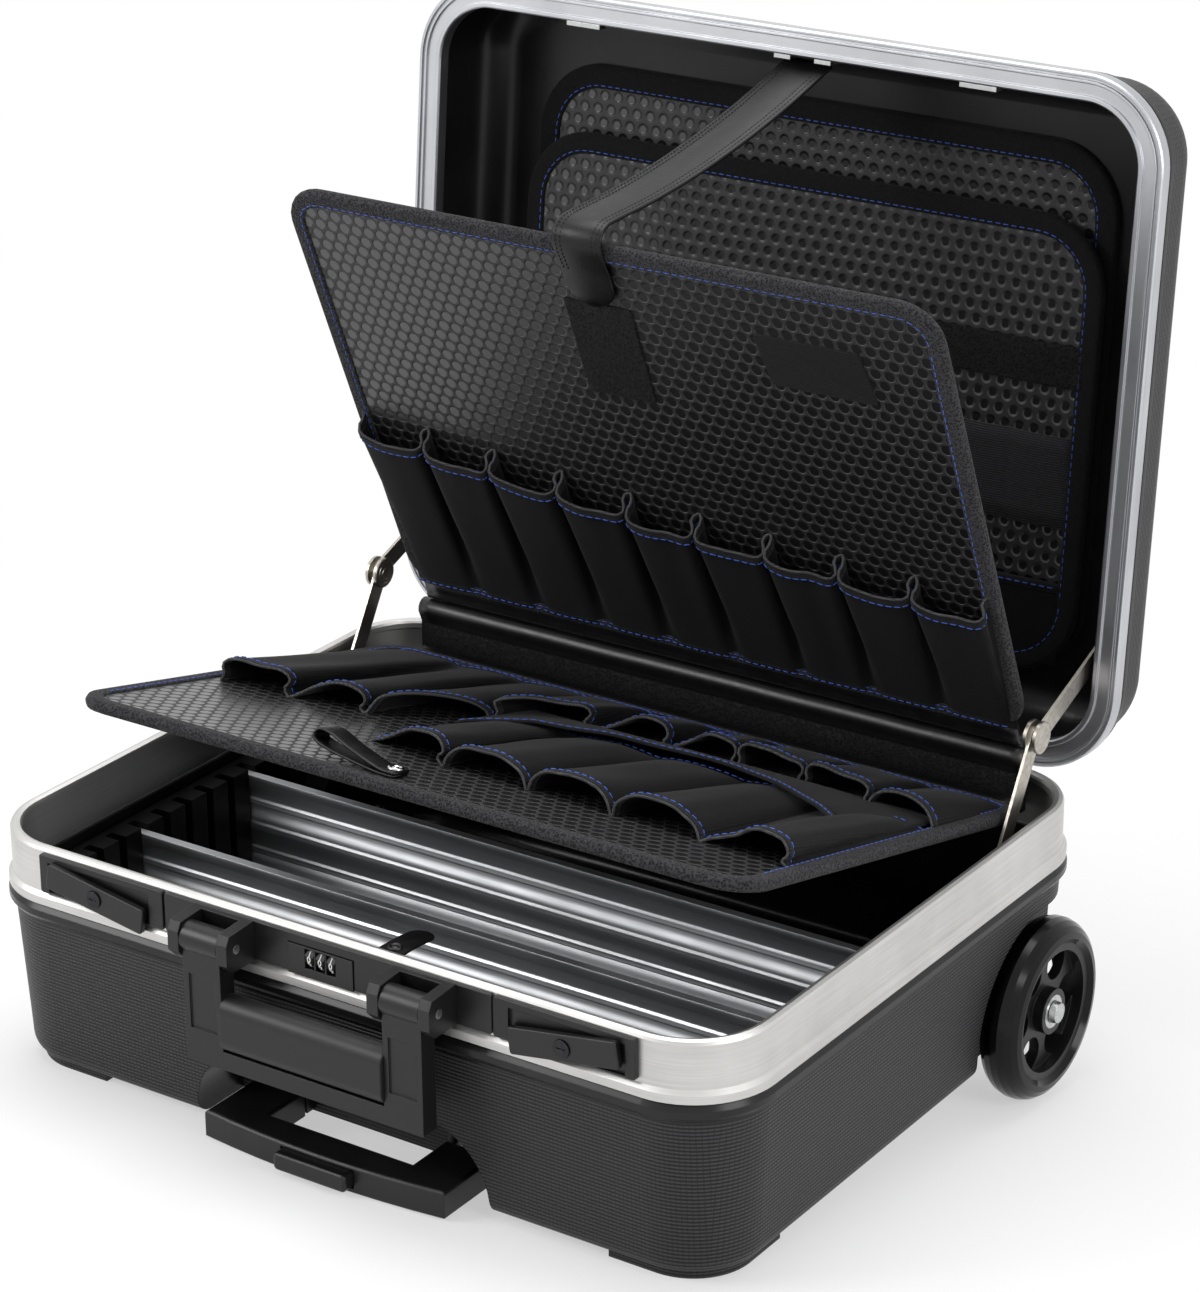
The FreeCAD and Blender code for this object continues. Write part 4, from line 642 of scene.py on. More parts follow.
# Black ABS, injection moulded: dark charcoal with close rows of small grey bars, and painted shade in the
# grooves between them.
SHELL_BASE = MouldedWeave("abs_moulded_base", "3b3a3d", 0.46, gloss=0.3, edge=1.2, space=Space.CASE)
SHELL_LID = MouldedWeave("abs_moulded_lid", "3b3a3d", 0.46, gloss=0.3, edge=1.2, space=Space.LID,
                         middle=200.0, plain_from=0.0, plain_to=184.0)
# Aluminium 6060, extruded and left satin: pale grey with lines along the frame, cooler on the lid.
FRAME_METAL = ExtrudedMetal("aluminium_extruded_satin", "d5d4d2", 0.44, metallic=1.0, edge=0.6,
                            space=Space.CASE, depth=0.035, shade="bcbbb9")
FRAME_LID = ExtrudedMetal("aluminium_extruded_lid", "cccdd1", 0.36, metallic=1.0, edge=0.6,
                          space=Space.LID, depth=0.02, shade="aeafb3")
# Aluminium rolled with ribs and left bright: long streaks of light and dark.
DIVIDER_METAL = RibbedMetal("aluminium_rolled_ribs", "e2e4e7", 0.5, metallic=1.0, edge=0.5,
                            space=Space.CASE, depth=0.006, shade="cacccf")
# Aluminium drawn to tube: grey and smooth, with lines along the tube.
TUBE_METAL = ExtrudedMetal("aluminium_drawn_tube", "c4c6c9", 0.3, metallic=1.0, edge=0.6,
                           space=Space.CASE, drawn_out=(1.0, 0.012, 1.0))
# Glass-filled polyamide, moulded with a spark-eroded grain: black with dull grey highlights.
FITTING = SparkGrain("polyamide_moulded_grain", "0d0d0e", 0.36, ior=1.53, gloss=0.38, edge=0.8,
                     space=Space.CASE, worn="161617")
RAIL = SparkGrain("polyamide_moulded_rail", "060607", 0.45, ior=1.53, gloss=0.2, edge=0.8,
                  space=Space.CASE, worn="0b0b0c")
BOW = SparkGrain("polyamide_moulded_bow", "0d0d0e", 0.36, ior=1.53, gloss=0.4, edge=1.6,
                 space=Space.CASE, worn="1a1a1b")
HUB = SparkGrain("polyamide_moulded_hub", "0a0a0b", 0.4, ior=1.53, gloss=0.35, edge=0.8, worn="121213")
# Turned acetal: deep black, so that the digits stand out.
DIAL = SparkGrain("acetal_turned_dial", "050505", 0.25, ior=1.48, gloss=0.15, edge=0.3, worn="080808")
# Soft-touch elastomer moulded over the handle: a grey bloom and no sharp highlight.
GRIP = SparkGrain("elastomer_overmoulded", "111112", 0.44, ior=1.52, sheen=0.05, gloss=0.38, edge=2.0,
                  grain=0.7, worn="1a1a1b")
# Cast polyurethane: glossy black with sharp highlights.
TYRE = SparkGrain("polyurethane_cast", "040404", 0.16, ior=1.5, gloss=0.22, grain=6.0, depth=0.01,
                  worn="060606")
# Die-cast zinc, chromated black: darker than the grips round it, with a sharp rim of light.
KEY = PlatedSteel("zinc_diecast_black", "3a3a3c", 0.28, metallic=1.0, edge=0.5, shade="2a2a2c")
# Zinc-plated steel: bluish bright grey. Nickel-plated steel: warmer. Chromed steel: a bright mirror.
ZINC = PlatedSteel("steel_zinc_plated", "c9cbcc", 0.3, metallic=1.0, edge=0.4)
NICKEL = PlatedSteel("steel_nickel_plated", "b9b4ab", 0.36, metallic=1.0, edge=0.4, shade="8d8880")
CHROME = PlatedSteel("steel_chromed", "cfd0d2", 0.1, metallic=1.0, shade="b5b6b8")
# Polyethylene sheet, vacuum pressed: black, each dimple with a soft gleam and painted shade, the ridges with
# painted light; smaller and sharper in the lid.
SHEET = DimpledSheet("polyethylene_dimpled", "101011", 0.36, ior=1.54, coat=0.6, coat_roughness=0.32)
SHEET_LID = DimpledSheet("polyethylene_dimpled_lid", "171718", 0.3, ior=1.54, coat=0.7, pitch=10.6,
                         bottom=2.2, rim=4.4, depth=1.0, ridge="1b1b1c")
# Needle felt folded over the board's edge: charcoal, soft and a little hairy.
BINDING = FuzzyTape("felt_needled_binding", "080808", 0.9, sheen=0.06, gloss=0.2, tuft=1.6, depth=0.55,
                    pale="3f3e41")
# Flat felt tape round the panel in the lid: closer and blacker.
EDGING = FuzzyTape("felt_pressed_edging", "050505", 0.9, sheen=0.04, gloss=0.2, tuft=1.1, depth=0.25,
                   pale="141415")
# Hook-and-loop tape: deep black with painted glints on its hooks.
HOOK = FuzzyTape("nylon_hook_tape", "030303", 0.7, sheen=0.01, gloss=0.14, tuft=1.9, depth=0.8, pale="222224")
# Woven polyester: the dull black pockets, the tape that binds their mouths and its paler cut edge.
CLOTH = WovenCloth("polyester_woven_cloth", "070707", 0.85, sheen=0.05, gloss=0.17, pale="202024")
MOUTH = WovenCloth("polyester_woven_tape", "0c0c0d", 0.8, sheen=0.08, gloss=0.2, thread=0.9, depth=0.2,
                   pale="262629")
CUT_EDGE = WovenCloth("polyester_cut_edge", "3a3a3c", 0.85, sheen=0.1, gloss=0.2, thread=0.7, pale="8c8c8e")
# Twisted polyester thread: clear blue, slightly silky. The strap's thread is black.
THREAD = SparkGrain("polyester_twisted_blue", "2a4cae", 0.55, sheen=0.05, grain=0.5, depth=0.1, worn="4469d0")
THREAD_BLACK = SparkGrain("polyester_twisted_black", "060606", 0.5, gloss=0.2, grain=0.5, depth=0.1,
                          worn="0c0c0c")
# Split leather and leatherette: black, supple, with a broad soft shine.
LEATHER = GrainedLeather("leather_split_black", "080809", 0.4, ior=1.5, gloss=0.28, pale="101011")
LEATHERETTE = GrainedLeather("leatherette_calendered", "0a0a0b", 0.38, ior=1.5, pebble=0.9, depth=0.05,
                             pale="131314")
# Knitted elastic: dull black with fine grey ribs, which show more in the lid.
ELASTIC = RibbedElastic("elastic_knitted_band", "060606", 0.8, sheen=0.04, gloss=0.2, pale="2c2c30")
ELASTIC_LID = RibbedElastic("elastic_knitted_lid", "0c0c0d", 0.8, sheen=0.06, gloss=0.25, depth=0.4,
                            pale="47474c")
# White ink in the digits of the dials: a clear mark on the black.
INK = SparkGrain("ink_white_filled", "e8e8e6", 0.5, grain=0.4, depth=0.01, worn="d2d2d0")


class MeshParts:
    """Points and faces gathered for one mesh."""

    def __init__(self) -> None:
        """Starts empty."""
        self.points: list[Array] = []
        self.faces: list[tuple[int, ...]] = []
        self.count = 0

    def add(self, points: Array, faces: Iterable[Sequence[int]]) -> None:
        """Adds points and faces.

        Args:
            points: the points, in millimetres.
            faces: the faces, which number these points from zero.
        """
        self.points.append(np.asarray(points, float))
        self.faces.extend(tuple(i + self.count for i in face) for face in faces)
        self.count += len(points)

    def rings(self, rings: Sequence[Array], loop: bool = False, capped: bool = True) -> None:
        """Adds a skin over rings of points.

        Args:
            rings: closed rings with the same number of points.
            loop: whether the last ring joins the first.
            capped: whether open ends are closed.
        """
        size = len(rings[0])
        count = len(rings)
        faces: list[tuple[int, ...]] = []
        for i in range(count if loop else count - 1):
            j = (i + 1) % count
            for k in range(size):
                m = (k + 1) % size
                faces.append((i * size + k, i * size + m, j * size + m, j * size + k))
        if capped and not loop:
            faces.append(tuple(reversed(range(size))))
            faces.append(tuple((count - 1) * size + k for k in range(size)))
        self.add(np.concatenate(rings), faces)

    def grid(self, points: Array) -> None:
        """Adds a sheet.

        Args:
            points: its points by row and column.
        """
        rows, columns = points.shape[:2]
        faces = [(r * columns + c, r * columns + c + 1, (r + 1) * columns + c + 1, (r + 1) * columns + c)
                 for r in range(rows - 1) for c in range(columns - 1)]
        self.add(points.reshape(-1, 3), faces)

    def piece(self, name: str, finish: Finish, place: Matrix, body: str, smooth: bool = True) -> Piece:
        """Makes the gathered mesh a piece that rides on a body.

        Args:
            name: the piece's name.
            finish: its finish.
            place: the local frame of its points.
            body: the CAD body that carries it.
            smooth: whether its faces are shaded smooth.

        Returns:
            The new piece.
        """
        mesh = bpy.data.meshes.new(name)
        mesh.from_pydata([tuple(p) for p in np.concatenate(self.points) * MM], [], self.faces)
        mesh.validate()
        mesh.update()
        if smooth:
            mesh.shade_smooth()
        mesh.materials.append(finish.make())
        piece = bpy.data.objects.new(name, mesh)
        bpy.context.scene.collection.objects.link(piece)
        piece.matrix_world = place
        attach(piece, body)
        log.info("piece %s: %d points on %s", name, len(mesh.vertices), body)
        return piece


def unit(vectors: Array) -> Array:
    """Gives vectors of length one."""
    return vectors / np.maximum(np.linalg.norm(vectors, axis=-1, keepdims=True), 1e-12)


def runs_along(line: Array) -> Array:
    """Gives the distance run along a line at each of its points."""
    return np.concatenate([[0], np.cumsum(np.linalg.norm(np.diff(line, axis=0), axis=1))])


def everywhere(way: Sequence[float], line: Array) -> Array:
    """Gives one direction for every point of a line."""
    return np.tile(way, (len(line), 1))


def point_at(run: float, runs: Array, line: Array) -> Array:
    """Gives the point of a line at a distance run along it."""
    return np.array([np.interp(run, runs, line[:, k]) for k in range(line.shape[1])])


def directions(line: Array, loop: bool = False) -> Array:
    """Gives the direction along a line at each of its points.

    Args:
        line: points of the line.
        loop: whether the line closes.

    Returns:
        Directions of length one.
    """
    if loop:
        return unit(np.roll(line, -1, axis=0) - np.roll(line, 1, axis=0))
    return unit(np.gradient(line, axis=0))


def square_to(line: Array, out: Array, loop: bool = False) -> tuple[Array, Array]:
    """Gives the directions that stand square to a line.

    Args:
        line: points of the line.
        out: roughly the outward direction at each point.
        loop: whether the line closes.

    Returns:
        The directions across the line and outward, at each point.
    """
    along = directions(line, loop)
    out = unit(out - along * np.sum(out * along, axis=1, keepdims=True))
    return np.cross(along, out), out


def resample(line: Array, step: float, loop: bool = False) -> Array:
    """Spaces points evenly along a line.

    Args:
        line: points of the line.
        step: the spacing wanted.
        loop: whether the line closes.

    Returns:
        Points about a step apart, ends included.
    """
    if loop:
        line = np.concatenate([line, line[:1]])
    runs = runs_along(line)
    count = max(int(round(runs[-1] / step)), 2)
    marks = np.linspace(0, runs[-1], count + 1)
    made = np.stack([np.interp(marks, runs, line[:, k]) for k in range(line.shape[1])], axis=1)
    return made[:-1] if loop else made


def rounded_outline(x0: float, x1: float, y0: float, y1: float, corner: float, steps: int = 10) -> Array:
    """Draws a rectangle with round corners, counter-clockwise.

    Args:
        x0: its left side.
        x1: its right side.
        y0: its lower side.
        y1: its upper side.
        corner: the radius of its corners.
        steps: points on each corner.

    Returns:
        Points of the outline in the plane z = 0.
    """
    made = []
    for cx, cy, start in ((x1 - corner, y1 - corner, 0), (x0 + corner, y1 - corner, 90),
                          (x0 + corner, y0 + corner, 180), (x1 - corner, y0 + corner, 270)):
        for step in range(steps + 1):
            a = math.radians(start + 90 * step / steps)
            made.append((cx + corner * math.cos(a), cy + corner * math.sin(a), 0.0))
    return np.array(made)


def smooth_line(knots: Sequence[Sequence[float]], steps: int = 12) -> Array:
    """Runs a smooth line through points.

    Args:
        knots: the points, in order.
        steps: points made for each stretch.

    Returns:
        Points of the line.
    """
    p = np.asarray(knots, float)
    padded = np.concatenate([[2 * p[0] - p[1]], p, [2 * p[-1] - p[-2]]])
    made = []
    for i in range(1, len(padded) - 2):
        a, b, c, d = padded[i - 1:i + 3]
        for t in np.linspace(0, 1, steps, endpoint=False):
            made.append(0.5 * (2 * b + (c - a) * t + (2 * a - 5 * b + 4 * c - d) * t ** 2
                               + (3 * b - 3 * c + d - a) * t ** 3))
    made.append(p[-1])
    return np.array(made)


def flat_oval(wide: float, thick: float, steps: int = 4) -> Pairs:
    """Draws the section of a strip with round edges.

    Args:
        wide: its width.
        thick: its thickness.
        steps: stretches on each round edge.

    Returns:
        Pairs of distance across and outward.
    """
    made = []
    for side, start in ((1, -90), (-1, 90)):
        for step in range(steps + 1):
            a = math.radians(start + 180 * step / steps)
            made.append((side * (wide - thick) / 2 + thick / 2 * math.cos(a), thick / 2 * math.sin(a)))
    return made


def sweep(parts: MeshParts, line: Array, out: Array, section: Pairs, loop: bool = False) -> None:
    """Draws a section along a line.

    Args:
        parts: the mesh that takes it.
        line: points of the line.
        out: the outward direction at each point.
        section: pairs of distance across the line and outward.
        loop: whether the line closes.
    """
    across, out = square_to(line, out, loop)
    shape = np.array(section)
    parts.rings([line[i] + np.outer(shape[:, 0], across[i]) + np.outer(shape[:, 1], out[i])
                 for i in range(len(line))], loop)


@dataclass
class Stitching:
    """A row of machine stitches: a thread that shows as short dashes sunk into the cloth.

    The taper is a share of the dash, and the ends and the bed are sunk by shares of its height.
    """

    dash: float = 4.4
    pitch: float = 5.8
    wide: float = 0.85
    high: float = 0.5
    taper: float = 0.14
    ends_sunk: float = 0.3
    bed_sunk: float = 0.4

    def sew(self, parts: MeshParts, line: Array, out: Array, loop: bool = False) -> None:
        """Adds the dashes along a line on a surface.

        Args:
            parts: the mesh that takes them.
            line: points of the seam.
            out: the surface's outward direction at each point.
            loop: whether the seam closes.
        """
        both = resample(np.concatenate([line, out], axis=1), step=1.0, loop=loop)
        spots, outs = both[:, :3], unit(both[:, 3:])
        runs = runs_along(spots)
        faces = [(0, 2, 1), (0, 3, 2), (0, 4, 3), (0, 1, 4)]
        faces += [(1 + k, 1 + (k + 1) % 4, 5 + (k + 1) % 4, 5 + k) for k in range(4)]
        faces += [(9, 5, 6), (9, 6, 7), (9, 7, 8), (9, 8, 5)]
        for number in range(int(runs[-1] / self.pitch)):
            middle = (number + 0.5) * self.pitch
            first, last = (point_at(middle + way * self.dash / 2, runs, spots) for way in (-1, 1))
            upward = unit(point_at(middle, runs, outs))
            side = np.cross(unit(last - first), upward) * self.wide / 2
            rise = upward * self.high
            made = [first - rise * self.ends_sunk]
            for share in (self.taper, 1 - self.taper):
                spot = first + (last - first) * share
                made += [spot + side, spot + rise, spot - side, spot - rise * self.bed_sunk]
            made.append(last - rise * self.ends_sunk)
            parts.add(np.array(made), faces)


SEAM = Stitching()
CLOTH_THICK = 1.0


def thicken(piece: Piece, thick: float) -> None:
    """Gives a cloth its thickness, half to each side.

    Args:
        piece: the cloth.
        thick: its thickness, in millimetres.
    """
    layer = piece.modifiers.new("thickness", "SOLIDIFY")
    layer.thickness = thick * MM
    layer.offset = 0.0


def lay_cloth(name: str, sheet: Array, place: Matrix, body: str) -> Piece:
    """Builds a sheet of pocket cloth.

    Args:
        name: the piece's name.
        sheet: its points by row and column, in millimetres.
        place: the local frame.
        body: the CAD body that carries it.

    Returns:
        The cloth.
    """
    parts = MeshParts()
    parts.grid(sheet)
    piece = parts.piece(name, CLOTH, place, body)
    thicken(piece, CLOTH_THICK)
    return piece


@dataclass
class BoundPanel:
    """A stiff panel faced with dimpled sheet, its edge bound with felt and sewn in blue."""

    name: str
    body: str
    place: Matrix
    x0: float
    x1: float
    y0: float
    y1: float
    level: float
    thickness: float
    corner: float
    finish: Finish
    binding_width: float = 10.0
    binding_rise: float = 1.5
    edging: Finish = BINDING
    bare_end: bool = False
    sheet_inset: float = 2.0
    binding_inset: float = 1.6
    seam_inset: float = 0.6
    seam_sunk: float = 0.1

    def outline(self, inset: float) -> Array:
        """Gives the panel's outline, drawn in by a distance."""
        return rounded_outline(self.x0 + inset, self.x1 - inset, self.y0 + inset, self.y1 - inset,
                               self.corner - inset)

    def sheet(self) -> Piece:
        """Builds the faced panel.

        Returns:
            The panel, without its binding.
        """
        parts = MeshParts()
        line = self.outline(self.sheet_inset)
        half = self.thickness / 2
        parts.rings([line + (0, 0, self.level - half), line + (0, 0, self.level + half)])
        return parts.piece(self.name + "_sheet", self.finish, self.place, self.body, smooth=False)

    def binding(self) -> Piece:
        """Builds the felt folded over the edge.

        Returns:
            The binding.
        """
        parts = MeshParts()
        half = self.thickness / 2
        rise = half + self.binding_rise
        line = resample(self.outline(self.binding_inset), step=6.0, loop=True) + (0, 0, self.level)
        wide = self.binding_width
        section = [(1.4, 0), (1.1, 0.6 * half), (0.1, rise * 0.86), (-1.6, rise), (-wide + 1.4, rise),
                   (-wide + 0.3, rise - 0.5), (-wide, half - 0.2)]
        section += [(a, -b) for a, b in reversed(section[1:])]
        sweep(parts, line, everywhere((0.0, 0.0, 1.0), line), section, loop=True)
        return parts.piece(self.name + "_binding", self.edging, self.place, self.body)

    def seam(self) -> Piece:
        """Builds the blue seam on both faces, left off a bare far end.

        Returns:
            The stitches.
        """
        parts = MeshParts()
        rise = self.thickness / 2 + self.binding_rise - self.seam_sunk
        for side in (-1, 1):
            line = resample(self.outline(self.binding_width - self.seam_inset), step=3.0, loop=True)
            if self.bare_end:
                line = line[line[:, 1] < self.y1 - self.corner - 1.0]
            line = line + (0, 0, self.level + side * rise)
            SEAM.sew(parts, line, everywhere((0.0, 0.0, float(side)), line), loop=not self.bare_end)
        return parts.piece(self.name + "_seam", THREAD, self.place, self.body)

    def build(self, *replaced: str) -> Piece:
        """Builds the whole panel.

        Args:
            replaced: the CAD nodes that it stands for.

        Returns:
            The faced panel.
        """
        sheet = self.sheet()
        self.binding()
        self.seam()
        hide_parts(*replaced)
        return sheet


@dataclass
class HingeStrip:
    """The leatherette strip on which a board folds, with a piped edge on the pivot line."""

    name: str
    body: str
    place: Matrix
    half: float = 231.0
    radius: float = 4.7
    reach: float = 14.0

    def build(self) -> Piece:
        """Builds the strip.

        Returns:
            The strip.
        """
        parts = MeshParts()
        section = [(self.reach, 3.2), (6.0, 3.4)]
        section += [(self.radius * math.cos(a), self.radius * math.sin(a))
                    for a in map(math.radians, range(50, 311, 26))]
        section += [(6.0, -3.4), (self.reach, -3.2)]
        parts.rings([np.array([(x, a, b) for a, b in section])
                     for x in np.linspace(-self.half, self.half, 40)])
        return parts.piece(self.name, LEATHERETTE, self.place, self.body)


class MouthShape(Enum):
    """How a pocket's mouth stands open: points across its width, as shares of its width and of its bulge."""

    BOX = ((0.015, 0.0), (0.06, 0.32), (0.02, 0.72), (0.10, 0.97), (0.36, 1.04), (0.66, 1.0), (0.90, 0.94),
           (0.985, 0.68), (0.925, 0.3), (0.985, 0.0))
    RAMP = ((0.015, 0.0), (0.12, 0.2), (0.32, 0.58), (0.52, 0.92), (0.72, 1.0), (0.91, 0.88), (0.985, 0.54),
            (0.92, 0.22), (0.985, 0.0))
    ARCH = ((0.015, 0.0), (0.045, 0.4), (0.17, 0.82), (0.40, 1.0), (0.63, 0.95), (0.83, 0.7), (0.945, 0.34),
            (0.985, 0.0))


@dataclass
class PocketRow:
    """A row of sewn pockets: one cloth caught down at each seam, its pleats folded in, with bound mouths.

    A mouth dips where it stands open. The lean says how soon the cloth swells on its way up, the crumple how
    far it creases, and each mouth sways and puffs by shares of its width and bulge.
    """

    name: str
    body: str
    place: Matrix
    shapes: tuple[MouthShape, ...]
    left: float
    right: float
    start: float
    mouth_line: tuple[tuple[float, float], ...]
    facing: Facing
    bulge: float
    board_half: float = 2.5
    dip: float = 6.0
    across: int = 24
    up: int = 18
    crumple: float = 0.7
    lean: float = 0.85
    sway: float = 0.035
    puff: float = 0.09
    seam_below: float = 5.0

    def pitch(self) -> float:
        """Gives the width of one pocket."""
        return (self.right - self.left) / len(self.shapes)

    def swell(self, share: float) -> float:
        """Gives how far the pockets stand open at a share of their height."""
        return 0.07 + 0.93 * share ** self.lean

    def height(self, x: float) -> float:
        """Gives the height of the pockets at a distance across the board."""
        knots = np.array(self.mouth_line)
        return float(np.interp(x, knots[:, 0], knots[:, 1])) - self.start

    def mouth(self, number: int) -> Array:
        """Gives the open mouth of one pocket, a little uneven as by hand.

        Args:
            number: which pocket, counted from the left.

        Returns:
            Evenly spaced pairs of share across the pocket and share of the bulge.
        """
        pitch = self.pitch()
        knots = np.array(self.shapes[number].value) * (pitch, self.bulge)
        elsewhere = Vector((31.7, 17.3, 5.9))
        for k in range(1, len(knots) - 1):
            spot = Vector((number * 2.3 + self.start, k * 1.7, self.left))
            aside, outward = noise.noise(spot), noise.noise(spot + elsewhere)
            knots[k] += (self.sway * pitch * aside, self.puff * self.bulge * outward)
        fine = smooth_line(knots, steps=10)
        runs = runs_along(fine)
        marks = np.linspace(0, runs[-1], self.across + 1)
        over = np.interp(marks, runs, fine[:, 0]) / pitch
        out = np.clip(np.interp(marks, runs, fine[:, 1]) / self.bulge, 0, 1.08)
        return np.stack([over, out], axis=1)

    def rows(self, share: float) -> Array:
        """Gives the line across all pockets at one share of their height.

        Args:
            share: the way up the pockets, from 0 to 1.

        Returns:
            Points of the cloth in the board's frame.
        """
        pitch = self.pitch()
        open_by = self.swell(share)
        made = []
        # The cloth lies flat at its foot and takes the mouth's shape on its way up.
        for number in range(len(self.shapes)):
            for k, (over, out) in enumerate(self.mouth(number)):
                flat = k / self.across
                x = self.left + (number + flat + (over - flat) * open_by) * pitch
                fold = noise.noise(Vector((x * 0.05, share * 2.2, self.start * 0.37)))
                crease = self.crumple * fold * min(4 * out, 1) * (0.3 + 0.7 * share)
                rise = out * open_by * self.bulge + crease
                s = self.start + self.height(x) * share - self.dip * share ** 3 * out ** 1.3
                made.append((x, s, self.facing.value * (max(rise, 0.0) + self.board_half + 0.2)))
        return np.array(made)

    def outward(self, line: Array) -> Array:
        """Gives the outward direction along such a line."""
        return unit(np.cross(directions(line), (0.0, 1.0, 0.0)) * self.facing.value)

    def cloth(self) -> Piece:
        """Builds the cloth.

        Returns:
            The cloth of the row.
        """
        sheet = np.array([self.rows(s) for s in np.linspace(0, 1, self.up + 1)])
        return lay_cloth(self.name + "_cloth", sheet, self.place, self.body)

    def strip(self, name: str, line: Array, section: Pairs, finish: Finish) -> None:
        """Builds a narrow strip along the mouths.

        Args:
            name: the strip's name.
            line: points of the mouths.
            section: pairs of distance up the pocket and outward.
            finish: its finish.
        """
        out = self.outward(line)
        parts = MeshParts()
        upward = np.array([(0, a, 0) for a, _ in section])
        parts.rings([line[i] + upward + np.outer([b for _, b in section], out[i]) for i in range(len(line))])
        parts.piece(self.name + name, finish, self.place, self.body)

    def seams(self) -> Piece:
        """Builds the blue seams below the mouths and along the closed end.

        Returns:
            The stitches.
        """
        parts = MeshParts()
        line = self.rows(1.0) - (0, self.seam_below, 0)
        out = self.outward(line)
        SEAM.sew(parts, line + out * 1.3, out)
        foot = self.rows(0.02)
        lift = everywhere((0.0, 0.0, float(self.facing.value)), foot)
        SEAM.sew(parts, foot + lift * 1.2, lift)
        return parts.piece(self.name + "_seams", THREAD, self.place, self.body)

    def build(self, replaced: str) -> None:
        """Builds the whole row.

        Args:
            replaced: the CAD node that it stands for.
        """
        cloth = self.cloth()
        mouth = self.rows(1.0)
        tape = [(0.2, 0.95), (-1.0, 1.2), (-5.4, 1.1), (-6.2, 0.6), (-6.2, -0.6), (-5.4, -1.1), (-1.0, -1.2),
                (0.2, -0.95)]
        cut_edge = [(0.9, 0.0), (0.6, 0.75), (0.1, 0.9), (0.1, -0.9), (0.6, -0.75)]
        self.strip("_mouths", mouth, tape, MOUTH)
        self.strip("_edges", mouth, cut_edge, CUT_EDGE)
        self.seams()
        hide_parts(replaced)


@dataclass
class BoundFlap:
    """A flat piece of pocket cloth sewn down along one edge, its free edge bound and sewn in blue."""

    name: str
    body: str
    place: Matrix
    sewn_at: float
    free_line: tuple[tuple[float, float], ...]
    level: float
    out: int
    rise: float
    across: int = 90
    down: int = 10

    def rows(self, share: float) -> Array:
        """Gives the line across the flap at one share of its depth.

        Args:
            share: the way from the sewn edge to the free one, from 0 to 1.

        Returns:
            Points of the cloth in the board's frame.
        """
        knots = np.array(self.free_line)
        left, right = knots[0, 0], knots[-1, 0]
        curve = smooth_line(knots, steps=14)
        made = []
        for x in np.linspace(left, right, self.across):
            way = (x - left) / (right - left)
            # The lift dies out towards both ends, where the flap is sewn down.
            ends = min(1.0, min(way, 1 - way) * 7) ** 0.7
            sway = 1 + 0.12 * noise.noise(Vector((x * 0.03, share, 4.1)))
            lift = self.rise * share ** 0.8 * ends * sway
            free = float(np.interp(x, curve[:, 0], curve[:, 1]))
            y = self.sewn_at + (free - self.sewn_at) * share
            made.append((x, y, self.level + self.out * max(lift, 0.0)))
        return np.array(made)

    def build(self) -> Piece:
        """Builds the flap, its bound edge and its seam.

        Returns:
            The cloth of the flap.
        """
        sheet = np.array([self.rows(s) for s in np.linspace(0, 1, self.down)])
        piece = lay_cloth(self.name + "_cloth", sheet, self.place, self.body)
        edge = sheet[-1]
        up = everywhere((0.0, 0.0, float(self.out)), edge)
        tape = MeshParts()
        folded = [(3.0, 0.4), (2.4, 1.1), (-2.4, 1.1), (-3.2, 0.4), (-3.2, -0.6), (3.0, -0.6)]
        sweep(tape, edge, up, folded)
        tape.piece(self.name + "_tape", MOUTH, self.place, self.body)
        seam = MeshParts()
        SEAM.sew(seam, edge + up * 1.1, up)
        seam.piece(self.name + "_seam", THREAD, self.place, self.body)
        return piece


@dataclass
class ElasticLoops:
    """A band of knitted elastic sewn down at even steps, so that it stands off in loops."""

    left: float = -202.0
    right: float = 208.0
    low: float = 20.0
    high: float = 80.0
    level: float = 212.6
    loops: int = 9
    rise: float = 2.6
    thick: float = 1.2
    rows: int = 7
    steps: int = 10

    def build(self) -> Piece:
        """Builds the band.

        Returns:
            The band.
        """
        rows = []
        for y in np.linspace(self.low, self.high, self.rows):
            row = []
            for x in np.linspace(self.left, self.right, self.loops * self.steps + 1):
                way = (x - self.left) / (self.right - self.left) * self.loops
                row.append((x, y, self.level - self.rise * abs(math.sin(math.pi * way)) ** 0.6))
            rows.append(row)
        sheet = np.array(rows)
        parts = MeshParts()
        parts.grid(sheet)
        piece = parts.piece("document_elastic", ELASTIC_LID, PLACES.lid(), "lid")
        thicken(piece, self.thick)
        return piece


@dataclass
class SewnPatch:
    """A flat patch of tape or elastic sewn to a board."""

    name: str
    body: str
    place: Matrix
    x0: float
    x1: float
    y0: float
    y1: float
    level: float
    out: int
    thickness: float
    finish: Finish
    corner: float = 2.0
    slant: float = 0.0

    def build(self) -> Piece:
        """Builds the patch with soft edges.

        Returns:
            The patch.
        """
        parts = MeshParts()
        rings = []
        for inset, rise in ((0.0, 0.0), (0.0, 0.6), (0.35, 0.9), (0.9, 1.0)):
            line = rounded_outline(self.x0 + inset, self.x1 - inset, self.y0 + inset, self.y1 - inset,
                                   self.corner, steps=4)
            across = (line[:, 1] - self.y0) / (self.y1 - self.y0)
            line[:, 0] += self.slant * (across - 0.5)
            line[:, 2] = self.level + self.out * self.thickness * rise
            rings.append(line)
        parts.rings(rings)
        return parts.piece(self.name, self.finish, self.place, self.body)


